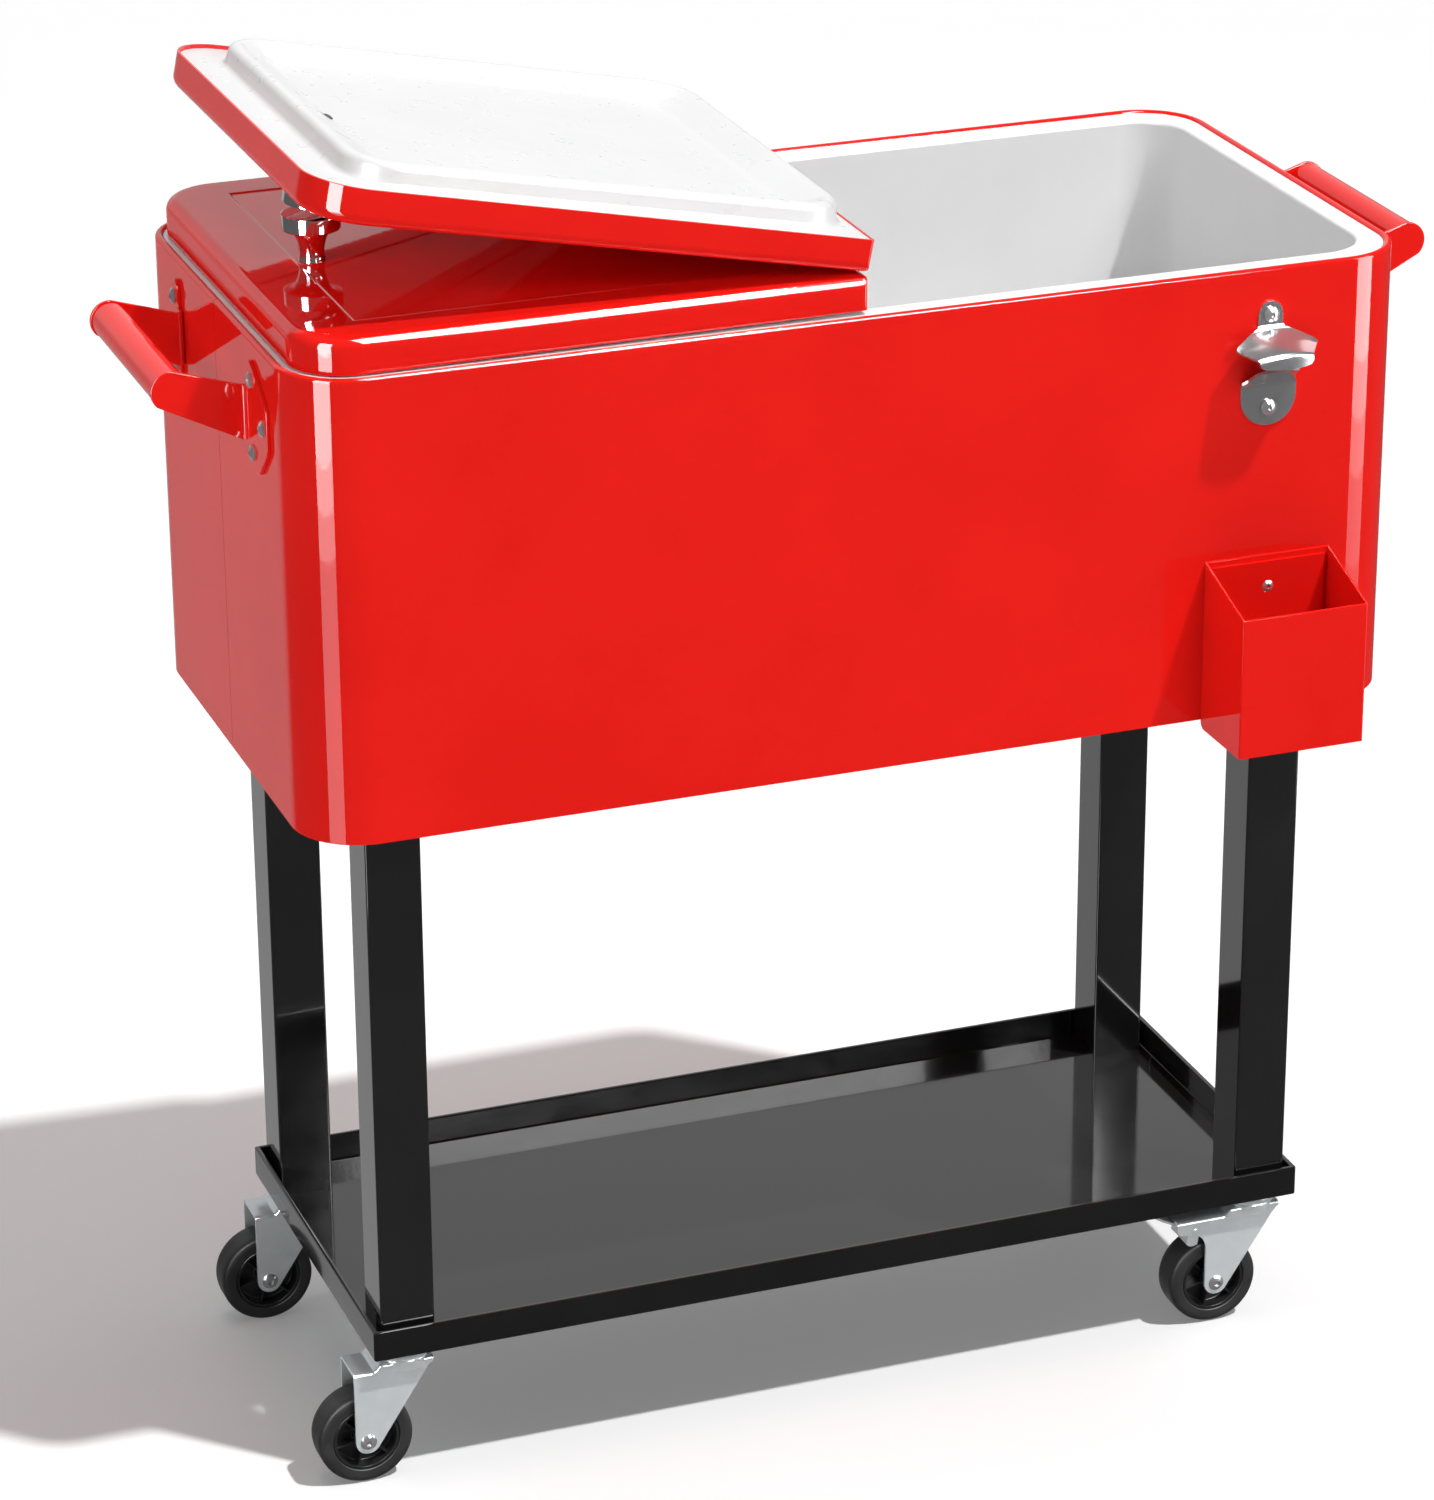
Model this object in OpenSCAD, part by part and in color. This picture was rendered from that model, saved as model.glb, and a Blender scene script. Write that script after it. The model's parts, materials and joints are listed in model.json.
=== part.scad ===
// Patio cooler cart: an insulated steel tub with two folding lids on a legged stand
// with a tray shelf and four swivel casters.
// +X runs along the tub, the front faces -Y, +Z is up. The origin lies on the floor
// under the middle of the whole cart.

/* [Tub] */
// Length of the tub shell, outside
tub_l = 750; // [700:10:800]
// Depth of the tub shell, outside, front to back
tub_w = 366; // [350:2:390]
// Height of the tub shell
tub_h = 306; // [280:2:330]
// Radius of the shell's upright corners
tub_r = 46; // [40:1:56]
// Thickness of the painted sheet
sheet_t = 1; // [0.8:0.1:1.6]
// Radius of the rolled top edge
roll_r = 2.5; // [2:0.1:3]
// Depth of the basin inside
basin_depth = 284; // [250:2:290]
// Room for insulation between the shell and the basin, at the ends and sides
insulation_t = 20; // [16:1:24]

/* [Lids] */
// Height of a lid's rim, bottom edge to top
lid_h = 22; // [20:1:26]
// How far a lid sits in from the shell's outer face
lid_inset = 8; // [7:0.5:10]
// Rounding of a lid's top edge
lid_edge_r = 8; // [6:0.5:9]
// Margin between a lid's end and its pressed panel
panel_end_margin = 43; // [38:1:50]
// Margin between a lid's side and its pressed panel
panel_side_margin = 34; // [30:1:45]
// Height of the raised ridge under a lid
ridge_h = 14; // [10:1:16]
// Distance from the hinge line to the middle of a knob
knob_x = 313; // [290:1:320]
// Distance of the knobs in front of the lids' middle line
knob_y = 12; // [0:1:20]
// Height of a knob
knob_h = 30; // [26:1:34]
// Radius of a knob's cap
knob_r = 19; // [16:0.5:22]

/* [Stand] */
// Height from the floor to the tray's underside
caster_h = 97; // [90:1:110]
// Height from the tray's underside to the tub's bottom edge
leg_h = 388; // [340:2:420]
// Width of the square leg tubes
leg_w = 37; // [34:1:42]
// Length of the tray
tray_l = 670; // [640:2:690]
// Depth of the tray
tray_w = 290; // [280:2:300]
// Height of the tray's lip
lip_h = 21; // [16:1:26]
// Thickness of the tray's folded lip
lip_t = 3.5; // [3:0.5:5]
// Gap between a leg and the tray's outer face
leg_inset = 7; // [5:0.5:8]

/* [Casters] */
// Radius of a wheel
wheel_r = 32.5; // [30:0.5:34]
// Width of a tyre
wheel_w = 24; // [22:1:25]
// Distance from the swivel axis to the wheel's axle
trail = 29; // [26:1:30]
// Radius of the raceway cap
race_r = 20.5; // [19:0.5:22]

/* [Handles] */
// Distance of a grip's middle from the tub's end
grip_reach = 49; // [45:1:60]
// Radius of the grip tube
grip_r = 12; // [10:0.5:13]
// Distance between the outer faces of a handle's arms
handle_span = 154; // [140:2:160]
// Height of the handle bolts' middle above the tub's bottom edge
handle_z = 258; // [240:1:262]

/* [Front fittings] */
// Distance of the opener from the middle of the tub
opener_x = 272; // [250:1:280]
// Distance of the catcher from the middle of the tub
catcher_x = 276; // [250:1:280]
// Width of the catcher
catcher_w = 89; // [80:1:95]
// Depth of the catcher
catcher_d = 60; // [50:1:64]
// Height of the catcher's back plate
catcher_h = 116; // [100:1:120]

/* [Hidden] */

$fn = 64;
eps = 0.1;

red = "#d8231c";
white = "#f2f2f0";
black = "#1c1c1e";
zinc = "#c9ccd0";
steel = "#b4b4b6";
foam_yellow = "#e8dca8";
rubber_black = "#2a2a2c";

// The front fittings reach further out than the back, so the tub stands this far behind the origin
plan_shift = catcher_d / 2;

// Heights above the floor
tray_z = caster_h;
tray_t = 1.5;
tub_z = caster_h + leg_h;
rim_z = tub_z + tub_h;
floor_rise = 8;
floor_t = 2;
leg_plate_t = 3;
leg_top_z = tub_z + floor_rise - leg_plate_t;
flange_drop = 1.5;
liner_t = 2;
basin_z = rim_z - basin_depth;

// Basin inside
basin_l = tub_l - 2 * insulation_t;
basin_w = tub_w - 2 * insulation_t - 4;
basin_r = 34;
basin_f = 26;
rim_fillet = 3;
jacket_t = 7;
flange_inset = 2 * roll_r + 0.2;

// Lids: a lid is drawn from the hinge line outwards, its top just below the hinge axis
lid_gap = 1.2;
axis_lift = 0.5;
seat_gap = 1.5;
axis_z = rim_z + seat_gap + lid_h + axis_lift;
lid_far = tub_l / 2 - lid_inset;
lid_w = tub_w - 2 * lid_inset;
lid_r = tub_r - lid_inset;
panel_depth = 1;
lid_low = -(lid_h + axis_lift);
lid_flange_t = 2;
lid_floor_drop = 4;
ridge_near = 10;
ridge_far = lid_far - 28;
ridge_side = 19;
ridge_r = 34;
ridge_top_w = 6;
ridge_slope_w = 22;
screw_r = 2.5;
screw_head_r = 5;
// Two knobs meet cap to cap when one lid lies folded over the other
knob_gap = 0.3;
fold_open = 2 * atan((knob_h - axis_lift + knob_gap) / (knob_x - knob_r));
fold_angle = 180 - fold_open;

// Hinge
knuckle_r = 2.2;
pin_r = 1.2;
pin_fit = 0.05;
leaf_t = 0.8;
leaf_drop = 15;
leaf_notch = 3;
lid_end_r = 2.5;
hinge_len = lid_w - 40;
knuckles = 7;
knuckle_len = hinge_len / knuckles;
knuckle_play = 0.3;
rivet_r = 1.5;
rivet_step = 72;

// Handles
arm_t = 2.5;
arm_root_h = 36;
arm_end_r = grip_r + 1;
arm_root_drop = 19.5;
grip_rise = 17;
grip_wall = 1.5;
bolt_r = 2.5;
bolt_head_r = 5.2;
bolt_head_h = 3;
hex_r = 1.7;

// Stand
leg_x = tray_l / 2 - leg_inset - leg_w / 2;
leg_y = tray_w / 2 - leg_inset - leg_w / 2;
tube_t = 1.5;
insert_h = 16;
foot_seat = 0.5;
foot_play = 0.1;
leg_plate_w = 64;
leg_bolt_off = 25;

// Casters, drawn below the tray with the swivel axis on Z and the tray's underside at 0
axle_z = wheel_r - caster_h;
kingpin_r = 5;
fork_t = 2;
fork_top = -8.5;
cheek_gap = 28;
cheek_r = 8.5;
swivel_fit = 0.05;
ball_r = 1.6;
ball_ring_r = 13;
balls = 16;
ball_z = -5;
axle_r = 3;
axle_fit = 0.05;
hub_r = 23;
tyre_fit = 0.05;
brake_x = -46;
brake_z = -21;
brake_pin_r = 2;
corners = [[-1, -1], [1, -1], [-1, 1], [1, 1]];

// ---------------------------------------------------------------- shared shapes

// Puts a piece in the cart's frame
module placed()
{
    translate([0, plan_shift, 0])
        children();
}

// Rounded rectangle
module plan(l, w, r)
{
    square([l, w - 2 * r], center = true);
    square([l - 2 * r, w], center = true);
    for (sx = [-1, 1], sy = [-1, 1])
        translate([sx * (l / 2 - r), sy * (w / 2 - r)])
            circle(r = r);
}

// Sweeps a flat profile round a rounded rectangle. The profile's x = 0 lies on the
// rectangle, its x points outwards and its y points up.
module sweep_ring(l, w, r)
{
    for (i = [0 : 3])
        translate([(i == 0 || i == 3 ? 1 : -1) * (l / 2 - r), (i < 2 ? 1 : -1) * (w / 2 - r), 0])
            rotate([0, 0, 90 * i])
                rotate_extrude(angle = 90)
                    translate([r, 0])
                        children();
    for (s = [0, 1])
        mirror([0, s, 0])
            translate([-(l / 2 - r), w / 2, 0])
                rotate([90, 0, 90])
                    linear_extrude(l - 2 * r)
                        children();
    for (s = [0, 1])
        mirror([s, 0, 0])
            translate([l / 2, w / 2 - r, 0])
                rotate([90, 0, 0])
                    linear_extrude(w - 2 * r)
                        children();
}

// Rounded block on z = 0 whose lower edge is rounded by f
module pan_block(l, w, r, h, f)
{
    translate([-(l / 2 - r), -(w / 2 - r), 0])
        cube([l - 2 * r, w - 2 * r, h]);
    sweep_ring(l, w, r)
        pan_profile(r, h, f);
}

module pan_profile(r, h, f)
{
    translate([-r, 0])
        square([r - f, h]);
    translate([-r, f])
        square([r, h - f]);
    intersection() {
        translate([-f, f])
            circle(r = f);
        translate([-f, 0])
            square(f);
    }
}

// Button-head bolt along -Z from its seat at z = 0, the head above, with a hex socket
module button_bolt(shank_r, head_r, head_h, length, socket_r)
{
    difference() {
        union() {
            intersection() {
                cylinder(r = head_r, h = head_h);
                translate([0, 0, head_h - head_r * 1.5])
                    sphere(r = head_r * 1.5);
            }
            translate([0, 0, -length])
                cylinder(r = shank_r, h = length + eps);
        }
        translate([0, 0, head_h - 1.6])
            cylinder(r = socket_r, h = 2, $fn = 6);
    }
}

// Hexagon nut on z = 0
module hex_nut(across_r, h, hole_r)
{
    difference() {
        cylinder(r = across_r, h = h, $fn = 6);
        translate([0, 0, -eps])
            cylinder(r = hole_r, h = h + 2 * eps);
    }
}

// ---------------------------------------------------------------- tub

module shell_wall()
{
    difference() {
        union() {
            translate([0, 0, tub_z])
                linear_extrude(tub_h - roll_r)
                    difference() {
                        plan(tub_l, tub_w, tub_r);
                        plan(tub_l - 2 * sheet_t, tub_w - 2 * sheet_t, tub_r - sheet_t);
                    }
            translate([0, 0, rim_z - roll_r])
                sweep_ring(tub_l, tub_w, tub_r)
                    translate([-roll_r, 0])
                        circle(r = roll_r);
        }
        handle_bolt_holes(bolt_r);
        front_bolt_holes(bolt_r);
    }
}

module tub_shell_front()
{
    color(red)
        placed()
            intersection() {
                shell_wall();
                translate([-tub_l, -tub_w, tub_z - 1])
                    cube([2 * tub_l, tub_w - 0.3, tub_h + 2]);
            }
}

module tub_shell_back()
{
    color(red)
        placed()
            intersection() {
                shell_wall();
                translate([-tub_l, 0.3, tub_z - 1])
                    cube([2 * tub_l, tub_w, tub_h + 2]);
            }
}

module seam_straps()
{
    strap_w = 24;
    color(zinc)
        placed()
            for (s = [-1, 1])
                translate([s * (tub_l / 2 - sheet_t - 0.6) - 0.6, -strap_w / 2, tub_z + floor_rise + floor_t + 1])
                    cube([1.2, strap_w, tub_h - floor_rise - floor_t - 14]);
}

module tub_floor()
{
    color(red)
        placed()
            difference() {
                translate([0, 0, tub_z + floor_rise])
                    linear_extrude(floor_t)
                        plan(tub_l - 2 * sheet_t, tub_w - 2 * sheet_t, tub_r - sheet_t);
                translate([0, 0, tub_z])
                    cylinder(r = 10.2, h = 30);
                leg_bolt_places()
                    cylinder(r = 3.1, h = 40, center = true);
            }
}

module inner_liner()
{
    flange_l = tub_l - 2 * flange_inset;
    flange_w = tub_w - 2 * flange_inset;
    wall_h = rim_z - flange_drop - basin_z + liner_t;
    color(white)
        placed()
            difference() {
                union() {
                    translate([0, 0, basin_z - liner_t])
                        pan_block(basin_l + 2 * liner_t, basin_w + 2 * liner_t, basin_r + liner_t,
                                  wall_h, basin_f + liner_t);
                    translate([0, 0, rim_z - flange_drop - liner_t])
                        linear_extrude(liner_t)
                            plan(flange_l, flange_w, tub_r - flange_inset);
                }
                translate([0, 0, basin_z])
                    pan_block(basin_l, basin_w, basin_r, basin_depth + 1, basin_f);
                // rounded edge between the flange and the basin
                translate([0, 0, rim_z - flange_drop])
                    sweep_ring(basin_l, basin_w, basin_r)
                        difference() {
                            translate([-1, -rim_fillet])
                                square([rim_fillet + 1, rim_fillet + 1]);
                            translate([rim_fillet, -rim_fillet])
                                circle(r = rim_fillet);
                        }
                translate([0, 0, basin_z - 10])
                    cylinder(r = 10.2, h = 20);
            }
}

// Foam panels round the basin: one under it and one behind each straight wall
module insulation()
{
    clear = 0.5;
    near = liner_t + clear;
    side = near + jacket_t;
    top = rim_z - 12;
    straight_l = basin_l - 2 * basin_r;
    straight_w = basin_w - 2 * basin_r;
    color(foam_yellow)
        placed()
            difference() {
                union() {
                    translate([0, 0, basin_z - side])
                        linear_extrude(jacket_t)
                            plan(basin_l + 2 * side, basin_w + 2 * side, basin_r + side);
                    for (s = [-1, 1]) {
                        translate([-straight_l / 2, s * (basin_w / 2 + near + jacket_t / 2) - jacket_t / 2,
                                   basin_z - near + clear])
                            cube([straight_l, jacket_t, top - basin_z + near - clear]);
                        translate([s * (basin_l / 2 + near + jacket_t / 2) - jacket_t / 2, -straight_w / 2,
                                   basin_z - near + clear])
                            cube([jacket_t, straight_w, top - basin_z + near - clear]);
                    }
                }
                translate([0, 0, tub_z])
                    cylinder(r = 20, h = 60);
                leg_bolt_places()
                    cylinder(r = 7, h = floor_t + 10);
                handle_bolt_holes(7);
                front_bolt_holes(7);
            }
}

module drain_fitting()
{
    low = tub_z - 12;
    color(steel)
        placed()
            difference() {
                union() {
                    translate([0, 0, low])
                        cylinder(r = 10, h = basin_z - low + 1);
                    translate([0, 0, basin_z + 0.2])
                        cylinder(r = 18, h = 2);
                }
                translate([0, 0, low - 1])
                    cylinder(r = 8, h = basin_z - low + 10);
            }
}

module drain_gasket()
{
    color(rubber_black)
        placed()
            translate([0, 0, basin_z - liner_t - 2])
                difference() {
                    cylinder(r = 17, h = 2);
                    translate([0, 0, -eps])
                        cylinder(r = 10.1, h = 3);
                }
}

module drain_nut()
{
    color(steel)
        placed()
            translate([0, 0, tub_z + floor_rise - 5])
                hex_nut(16, 5, 10.1);
}

module drain_cap()
{
    cap_z = tub_z - 16;
    color(rubber_black)
        placed()
            translate([0, 0, cap_z])
                difference() {
                    union() {
                        cylinder(r = 14, h = 14);
                        for (a = [0 : 30 : 330])
                            rotate([0, 0, a])
                                translate([13.2, -1.2, 0])
                                    cube([1.8, 2.4, 14]);
                    }
                    translate([0, 0, 3])
                        cylinder(r = 10.3, h = 20);
                }
}

// ---------------------------------------------------------------- lids

// One lid's body, closed, hinge axis along Y at the origin, shrunk by t all round
module lid_body(t, top_drop = 0)
{
    intersection() {
        translate([0, 0, -axis_lift - t - top_drop])
            mirror([0, 0, 1])
                pan_block(2 * (lid_far - t), lid_w - 2 * t, lid_r - t, lid_h, lid_edge_r - t);
        translate([lid_gap + t, -lid_w, lid_low - 0.01])
            cube([lid_far, 2 * lid_w, lid_h + 5]);
    }
}

module panel_recess(grow, depth)
{
    translate([panel_end_margin - grow, -(lid_w / 2 - panel_side_margin) - grow, -axis_lift - depth])
        cube([lid_far - 2 * panel_end_margin + 2 * grow, lid_w - 2 * panel_side_margin + 2 * grow, 10]);
}

module lid_skin()
{
    difference() {
        lid_body(0);
        difference() {
            lid_body(sheet_t);
            panel_recess(sheet_t, panel_depth + sheet_t);
        }
        panel_recess(0, panel_depth);
        // rounded edge that clears the knuckles
        translate([lid_gap, 0, -axis_lift])
            rotate([90, 0, 0])
                linear_extrude(2 * lid_w, center = true)
                    difference() {
                        translate([-1, -lid_end_r])
                            square([lid_end_r + 1, lid_end_r + 1]);
                        translate([lid_end_r, -lid_end_r])
                            circle(r = lid_end_r);
                    }
        translate([knob_x, -knob_y, -20])
            cylinder(r = screw_r + 0.2, h = 40);
        hinge_rivet_places()
            cylinder(r = rivet_r + 0.05, h = 12, center = true);
    }
}

module lid_liner()
{
    clear = 0.1;
    ridge_mid = (ridge_near + ridge_far) / 2;
    ridge_l = ridge_far - ridge_near;
    ridge_w = lid_w - 2 * ridge_side;
    floor_r = ridge_r - ridge_top_w - ridge_slope_w - 2;
    floor_in = 2 * (ridge_top_w + ridge_slope_w + 2);
    difference() {
        union() {
            intersection() {
                lid_body(sheet_t + clear);
                translate([0, -lid_w, lid_low])
                    cube([lid_far, 2 * lid_w, lid_flange_t]);
            }
            translate([ridge_mid, 0, 0])
                sweep_ring(ridge_l, ridge_w, ridge_r)
                    polygon([
                        [0, lid_low + lid_flange_t],
                        [0, lid_low],
                        [-2, lid_low - ridge_h + 2],
                        [-4, lid_low - ridge_h],
                        [-2 - ridge_top_w, lid_low - ridge_h],
                        [-2 - ridge_top_w - ridge_slope_w, lid_low - lid_floor_drop],
                        [-2 - ridge_top_w - ridge_slope_w, lid_low + lid_flange_t]
                    ]);
            translate([ridge_mid, 0, lid_low - lid_floor_drop])
                linear_extrude(lid_floor_drop)
                    plan(ridge_l - floor_in + 0.5, ridge_w - floor_in + 0.5, floor_r);
        }
        translate([knob_x, -knob_y, lid_low - 20])
            cylinder(r = screw_r + 0.2, h = 40);
        // spot face for the screw's head in the sloping side
        translate([knob_x, -knob_y, lid_low - lid_floor_drop - 20])
            cylinder(r = screw_head_r + 0.6, h = 20);
    }
}

module lid_foam()
{
    clear = 0.3;
    difference() {
        intersection() {
            lid_body(sheet_t + clear);
            translate([lid_gap + 6, -lid_w, lid_low + lid_flange_t + clear])
                cube([lid_far, 2 * lid_w, lid_h - lid_flange_t - sheet_t - panel_depth - 2 * clear]);
        }
        translate([knob_x, -knob_y, -40])
            cylinder(r = 4, h = 60);
    }
}

module knob()
{
    base = -axis_lift - panel_depth;
    rise = knob_h + panel_depth;
    translate([knob_x, -knob_y, base])
        difference() {
            rotate_extrude()
                polygon([
                    [0, 0], [11, 0], [11, 1.2], [9.5, 2.2], [7.3, 4], [7, 8], [8.4, 13.5],
                    [11, rise - 10.5], [knob_r - 0.8, rise - 10.2], [knob_r, rise - 9.4],
                    [knob_r, rise - 1], [knob_r - 1, rise], [0, rise]
                ]);
            translate([0, 0, -eps])
                cylinder(r = screw_r + 0.1, h = 16);
        }
}

module knob_screw()
{
    seat = lid_low - lid_floor_drop;
    translate([knob_x, -knob_y, seat])
        difference() {
            union() {
                cylinder(r = screw_r, h = lid_h + lid_floor_drop + 12);
                translate([0, 0, -3])
                    intersection() {
                        cylinder(r = screw_head_r, h = 3);
                        translate([0, 0, 7])
                            sphere(r = 7);
                    }
            }
            for (a = [0, 90])
                rotate([0, 0, a])
                    translate([-2.4, -0.5, -4])
                        cube([4.8, 1, 3]);
        }
}

// The left lid is closed: its pieces run towards -X
module on_left_lid()
{
    placed()
        translate([0, 0, axis_z])
            mirror([1, 0, 0])
                children();
}

// The right lid lies folded back over the left one
module on_right_lid()
{
    placed()
        translate([0, 0, axis_z])
            rotate([0, -fold_angle, 0])
                children();
}

module left_lid_skin() { color(red) on_left_lid() lid_skin(); }
module left_lid_liner() { color(white) on_left_lid() lid_liner(); }
module left_lid_foam() { color(foam_yellow) on_left_lid() lid_foam(); }
module left_knob() { color(steel) on_left_lid() knob(); }
module left_knob_screw() { color(steel) on_left_lid() knob_screw(); }
module right_lid_skin() { color(red) on_right_lid() lid_skin(); }
module right_lid_liner() { color(white) on_right_lid() lid_liner(); }
module right_lid_foam() { color(foam_yellow) on_right_lid() lid_foam(); }
module right_knob() { color(steel) on_right_lid() knob(); }
module right_knob_screw() { color(steel) on_right_lid() knob_screw(); }

// ---------------------------------------------------------------- hinge

// A leaf hangs against the lid's end and carries every second knuckle
module hinge_leaf(first)
{
    own = [for (i = [first : 2 : knuckles - 1]) i];
    difference() {
        union() {
            translate([lid_gap - leaf_t, -hinge_len / 2, -leaf_drop])
                cube([leaf_t, hinge_len, leaf_drop - leaf_notch]);
            for (i = own) {
                translate([lid_gap - leaf_t, -hinge_len / 2 + i * knuckle_len + knuckle_play, -leaf_drop])
                    cube([leaf_t, knuckle_len - 2 * knuckle_play, leaf_drop]);
                translate([0, -hinge_len / 2 + (i + 1) * knuckle_len - knuckle_play, 0])
                    rotate([90, 0, 0])
                        cylinder(r = knuckle_r, h = knuckle_len - 2 * knuckle_play);
            }
        }
        rotate([90, 0, 0])
            cylinder(r = pin_r + pin_fit, h = 2 * lid_w, center = true);
        hinge_rivet_places()
            cylinder(r = rivet_r + 0.05, h = 12, center = true);
    }
}

// Places on a lid's hinge end, with Z pointing along the lid
module hinge_rivet_places()
{
    for (k = [-2 : 2])
        translate([lid_gap, k * rivet_step, -leaf_drop + 5])
            rotate([0, 90, 0])
                children();
}

module hinge_rivets()
{
    hinge_rivet_places()
        union() {
            translate([0, 0, -leaf_t + 0.1])
                cylinder(r = rivet_r, h = leaf_t + sheet_t + 1);
            translate([0, 0, sheet_t])
                cylinder(r = 2 * rivet_r, h = 1.2);
        }
}

module left_hinge_leaf() { color(steel) on_left_lid() hinge_leaf(0); }
module right_hinge_leaf() { color(steel) on_right_lid() hinge_leaf(1); }
module hinge_rivets_left() { color(steel) on_left_lid() hinge_rivets(); }
module hinge_rivets_right() { color(steel) on_right_lid() hinge_rivets(); }

module hinge_pin()
{
    color(steel)
        placed()
            translate([0, 0, axis_z])
                rotate([90, 0, 0])
                    cylinder(r = pin_r, h = hinge_len + 4, center = true);
}

// ---------------------------------------------------------------- handles

// Bolt places on one arm's flange: distance from the bend and height from the bolts' middle
flange_bolts = [[13.5, 23.5], [38.5, 0], [15, -23.5]];

// Every handle bolt place, with Z pointing out of the tub's end
module handle_bolt_places()
{
    for (sx = [-1, 1], sy = [-1, 1], p = flange_bolts)
        translate([sx * tub_l / 2, sy * (handle_span / 2 + p[0]), tub_z + handle_z + p[1]])
            rotate([0, sx * 90, 0])
                children();
}

module handle_bolt_holes(r)
{
    handle_bolt_places()
        cylinder(r = r, h = 30, center = true);
}

// One bent arm of the left handle, on the -Y side: the plate and its flange
module handle_arm()
{
    grip_z = tub_z + handle_z + grip_rise;
    root_z = tub_z + handle_z;
    difference() {
        union() {
            // plate, standing out from the tub's end
            translate([-tub_l / 2, -handle_span / 2 + arm_t, 0])
                rotate([90, 0, 0])
                    linear_extrude(arm_t) {
                        translate([-grip_reach, grip_z])
                            circle(r = arm_end_r);
                        polygon([
                            [0, root_z + arm_root_h - arm_root_drop],
                            [-grip_reach + 3, grip_z + arm_end_r - 0.5],
                            [-grip_reach - 6, grip_z - arm_end_r + 1.7],
                            [0, root_z - arm_root_drop]
                        ]);
                    }
            // flange, flat on the tub's end
            translate([-tub_l / 2 - arm_t, -handle_span / 2 + arm_t, 0])
                rotate([90, 0, 90])
                    linear_extrude(arm_t)
                        polygon([
                            [0, root_z + 26], [-4, root_z + 33], [-14, root_z + 35],
                            [-22, root_z + 32], [-50, root_z + 14], [-50, root_z - 15],
                            [-30, root_z - 34], [-10, root_z - 36], [0, root_z - 31]
                        ]);
        }
        handle_bolt_local();
    }
}

module handle_bolt_local()
{
    for (p = flange_bolts)
        translate([-tub_l / 2, -(handle_span / 2 + p[0]), tub_z + handle_z + p[1]])
            rotate([0, 90, 0])
                cylinder(r = bolt_r, h = 20, center = true);
}

module handle_arms()
{
    for (s = [0, 1])
        mirror([0, s, 0])
            handle_arm();
}

module handle_grip()
{
    translate([-tub_l / 2 - grip_reach, 0, tub_z + handle_z + grip_rise])
        rotate([90, 0, 0])
            difference() {
                cylinder(r = grip_r, h = handle_span - 2 * arm_t, center = true);
                cylinder(r = grip_r - grip_wall, h = handle_span, center = true);
            }
}

module handle_arms_left() { color(red) placed() handle_arms(); }
module handle_arms_right() { color(red) placed() mirror([1, 0, 0]) handle_arms(); }
module handle_grip_left() { color(red) placed() handle_grip(); }
module handle_grip_right() { color(red) placed() mirror([1, 0, 0]) handle_grip(); }

module handle_bolts()
{
    color(zinc)
        placed()
            handle_bolt_places() {
                translate([0, 0, arm_t])
                    button_bolt(bolt_r - 0.1, bolt_head_r, bolt_head_h, arm_t + sheet_t + 7, hex_r);
                translate([0, 0, -sheet_t - 4])
                    hex_nut(5, 4, bolt_r - 0.05);
            }
}

// ---------------------------------------------------------------- front fittings

opener_top = 284;
opener_bolt_z = [opener_top - 8.5, opener_top - 71];
opener_t = 2.4;
hood_strips = [[17, -19.5, 1.2], [57, -29, 11], [50, -35, 21], [38, -39.5, 26.5], [36, -46, 28]];
neck_strips = [[39, -56, 1.2], [30, -45, 15], [28, -34, 17.5]];
catcher_top = 111;
catcher_slope = 20;
catcher_screw_z = catcher_top - 22;
catcher_t = 1.5;

// Bolt places on the tub's front, with Z pointing out
module front_bolt_places(places)
{
    for (p = places)
        translate([p[0], -tub_w / 2, tub_z + p[1]])
            rotate([90, 0, 0])
                children();
}

function opener_places() = [for (z = opener_bolt_z) [opener_x, z]];
function catcher_places() = [[catcher_x, catcher_screw_z]];

module front_bolt_holes(r)
{
    front_bolt_places(concat(opener_places(), catcher_places()))
        cylinder(r = r, h = 30, center = true);
}

module bottle_opener()
{
    color(steel)
        placed()
            translate([opener_x, -tub_w / 2, tub_z])
                rotate([90, 0, 0])
                    difference() {
                        union() {
                            linear_extrude(opener_t) {
                                translate([0, opener_top - 8.5])
                                    circle(r = 8.5);
                                translate([-8.5, opener_top - 20])
                                    square([17, 11.5]);
                                translate([-19.5, opener_top - 64])
                                    square([39, 8]);
                                translate([0, opener_top - 64])
                                    circle(r = 19.5);
                            }
                            bent_sheet(hood_strips);
                            bent_sheet(neck_strips);
                        }
                        for (z = opener_bolt_z)
                            translate([0, z, -1])
                                cylinder(r = bolt_r, h = 10);
                    }
}

// Pressed sheet through a row of strips, each [width, height from the opener's top, out]
module bent_sheet(strips)
{
    for (i = [0 : len(strips) - 2])
        hull()
            for (p = [strips[i], strips[i + 1]])
                translate([-p[0] / 2, opener_top + p[1], p[2]])
                    rotate([0, 90, 0])
                        cylinder(r = opener_t / 2, h = p[0], $fn = 16);
}

module opener_bolts()
{
    color(zinc)
        placed()
            front_bolt_places(opener_places()) {
                translate([0, 0, opener_t])
                    button_bolt(bolt_r - 0.1, bolt_head_r, bolt_head_h, opener_t + sheet_t + 6, hex_r);
                translate([0, 0, -sheet_t - 4])
                    hex_nut(5, 4, bolt_r - 0.05);
            }
}

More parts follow.
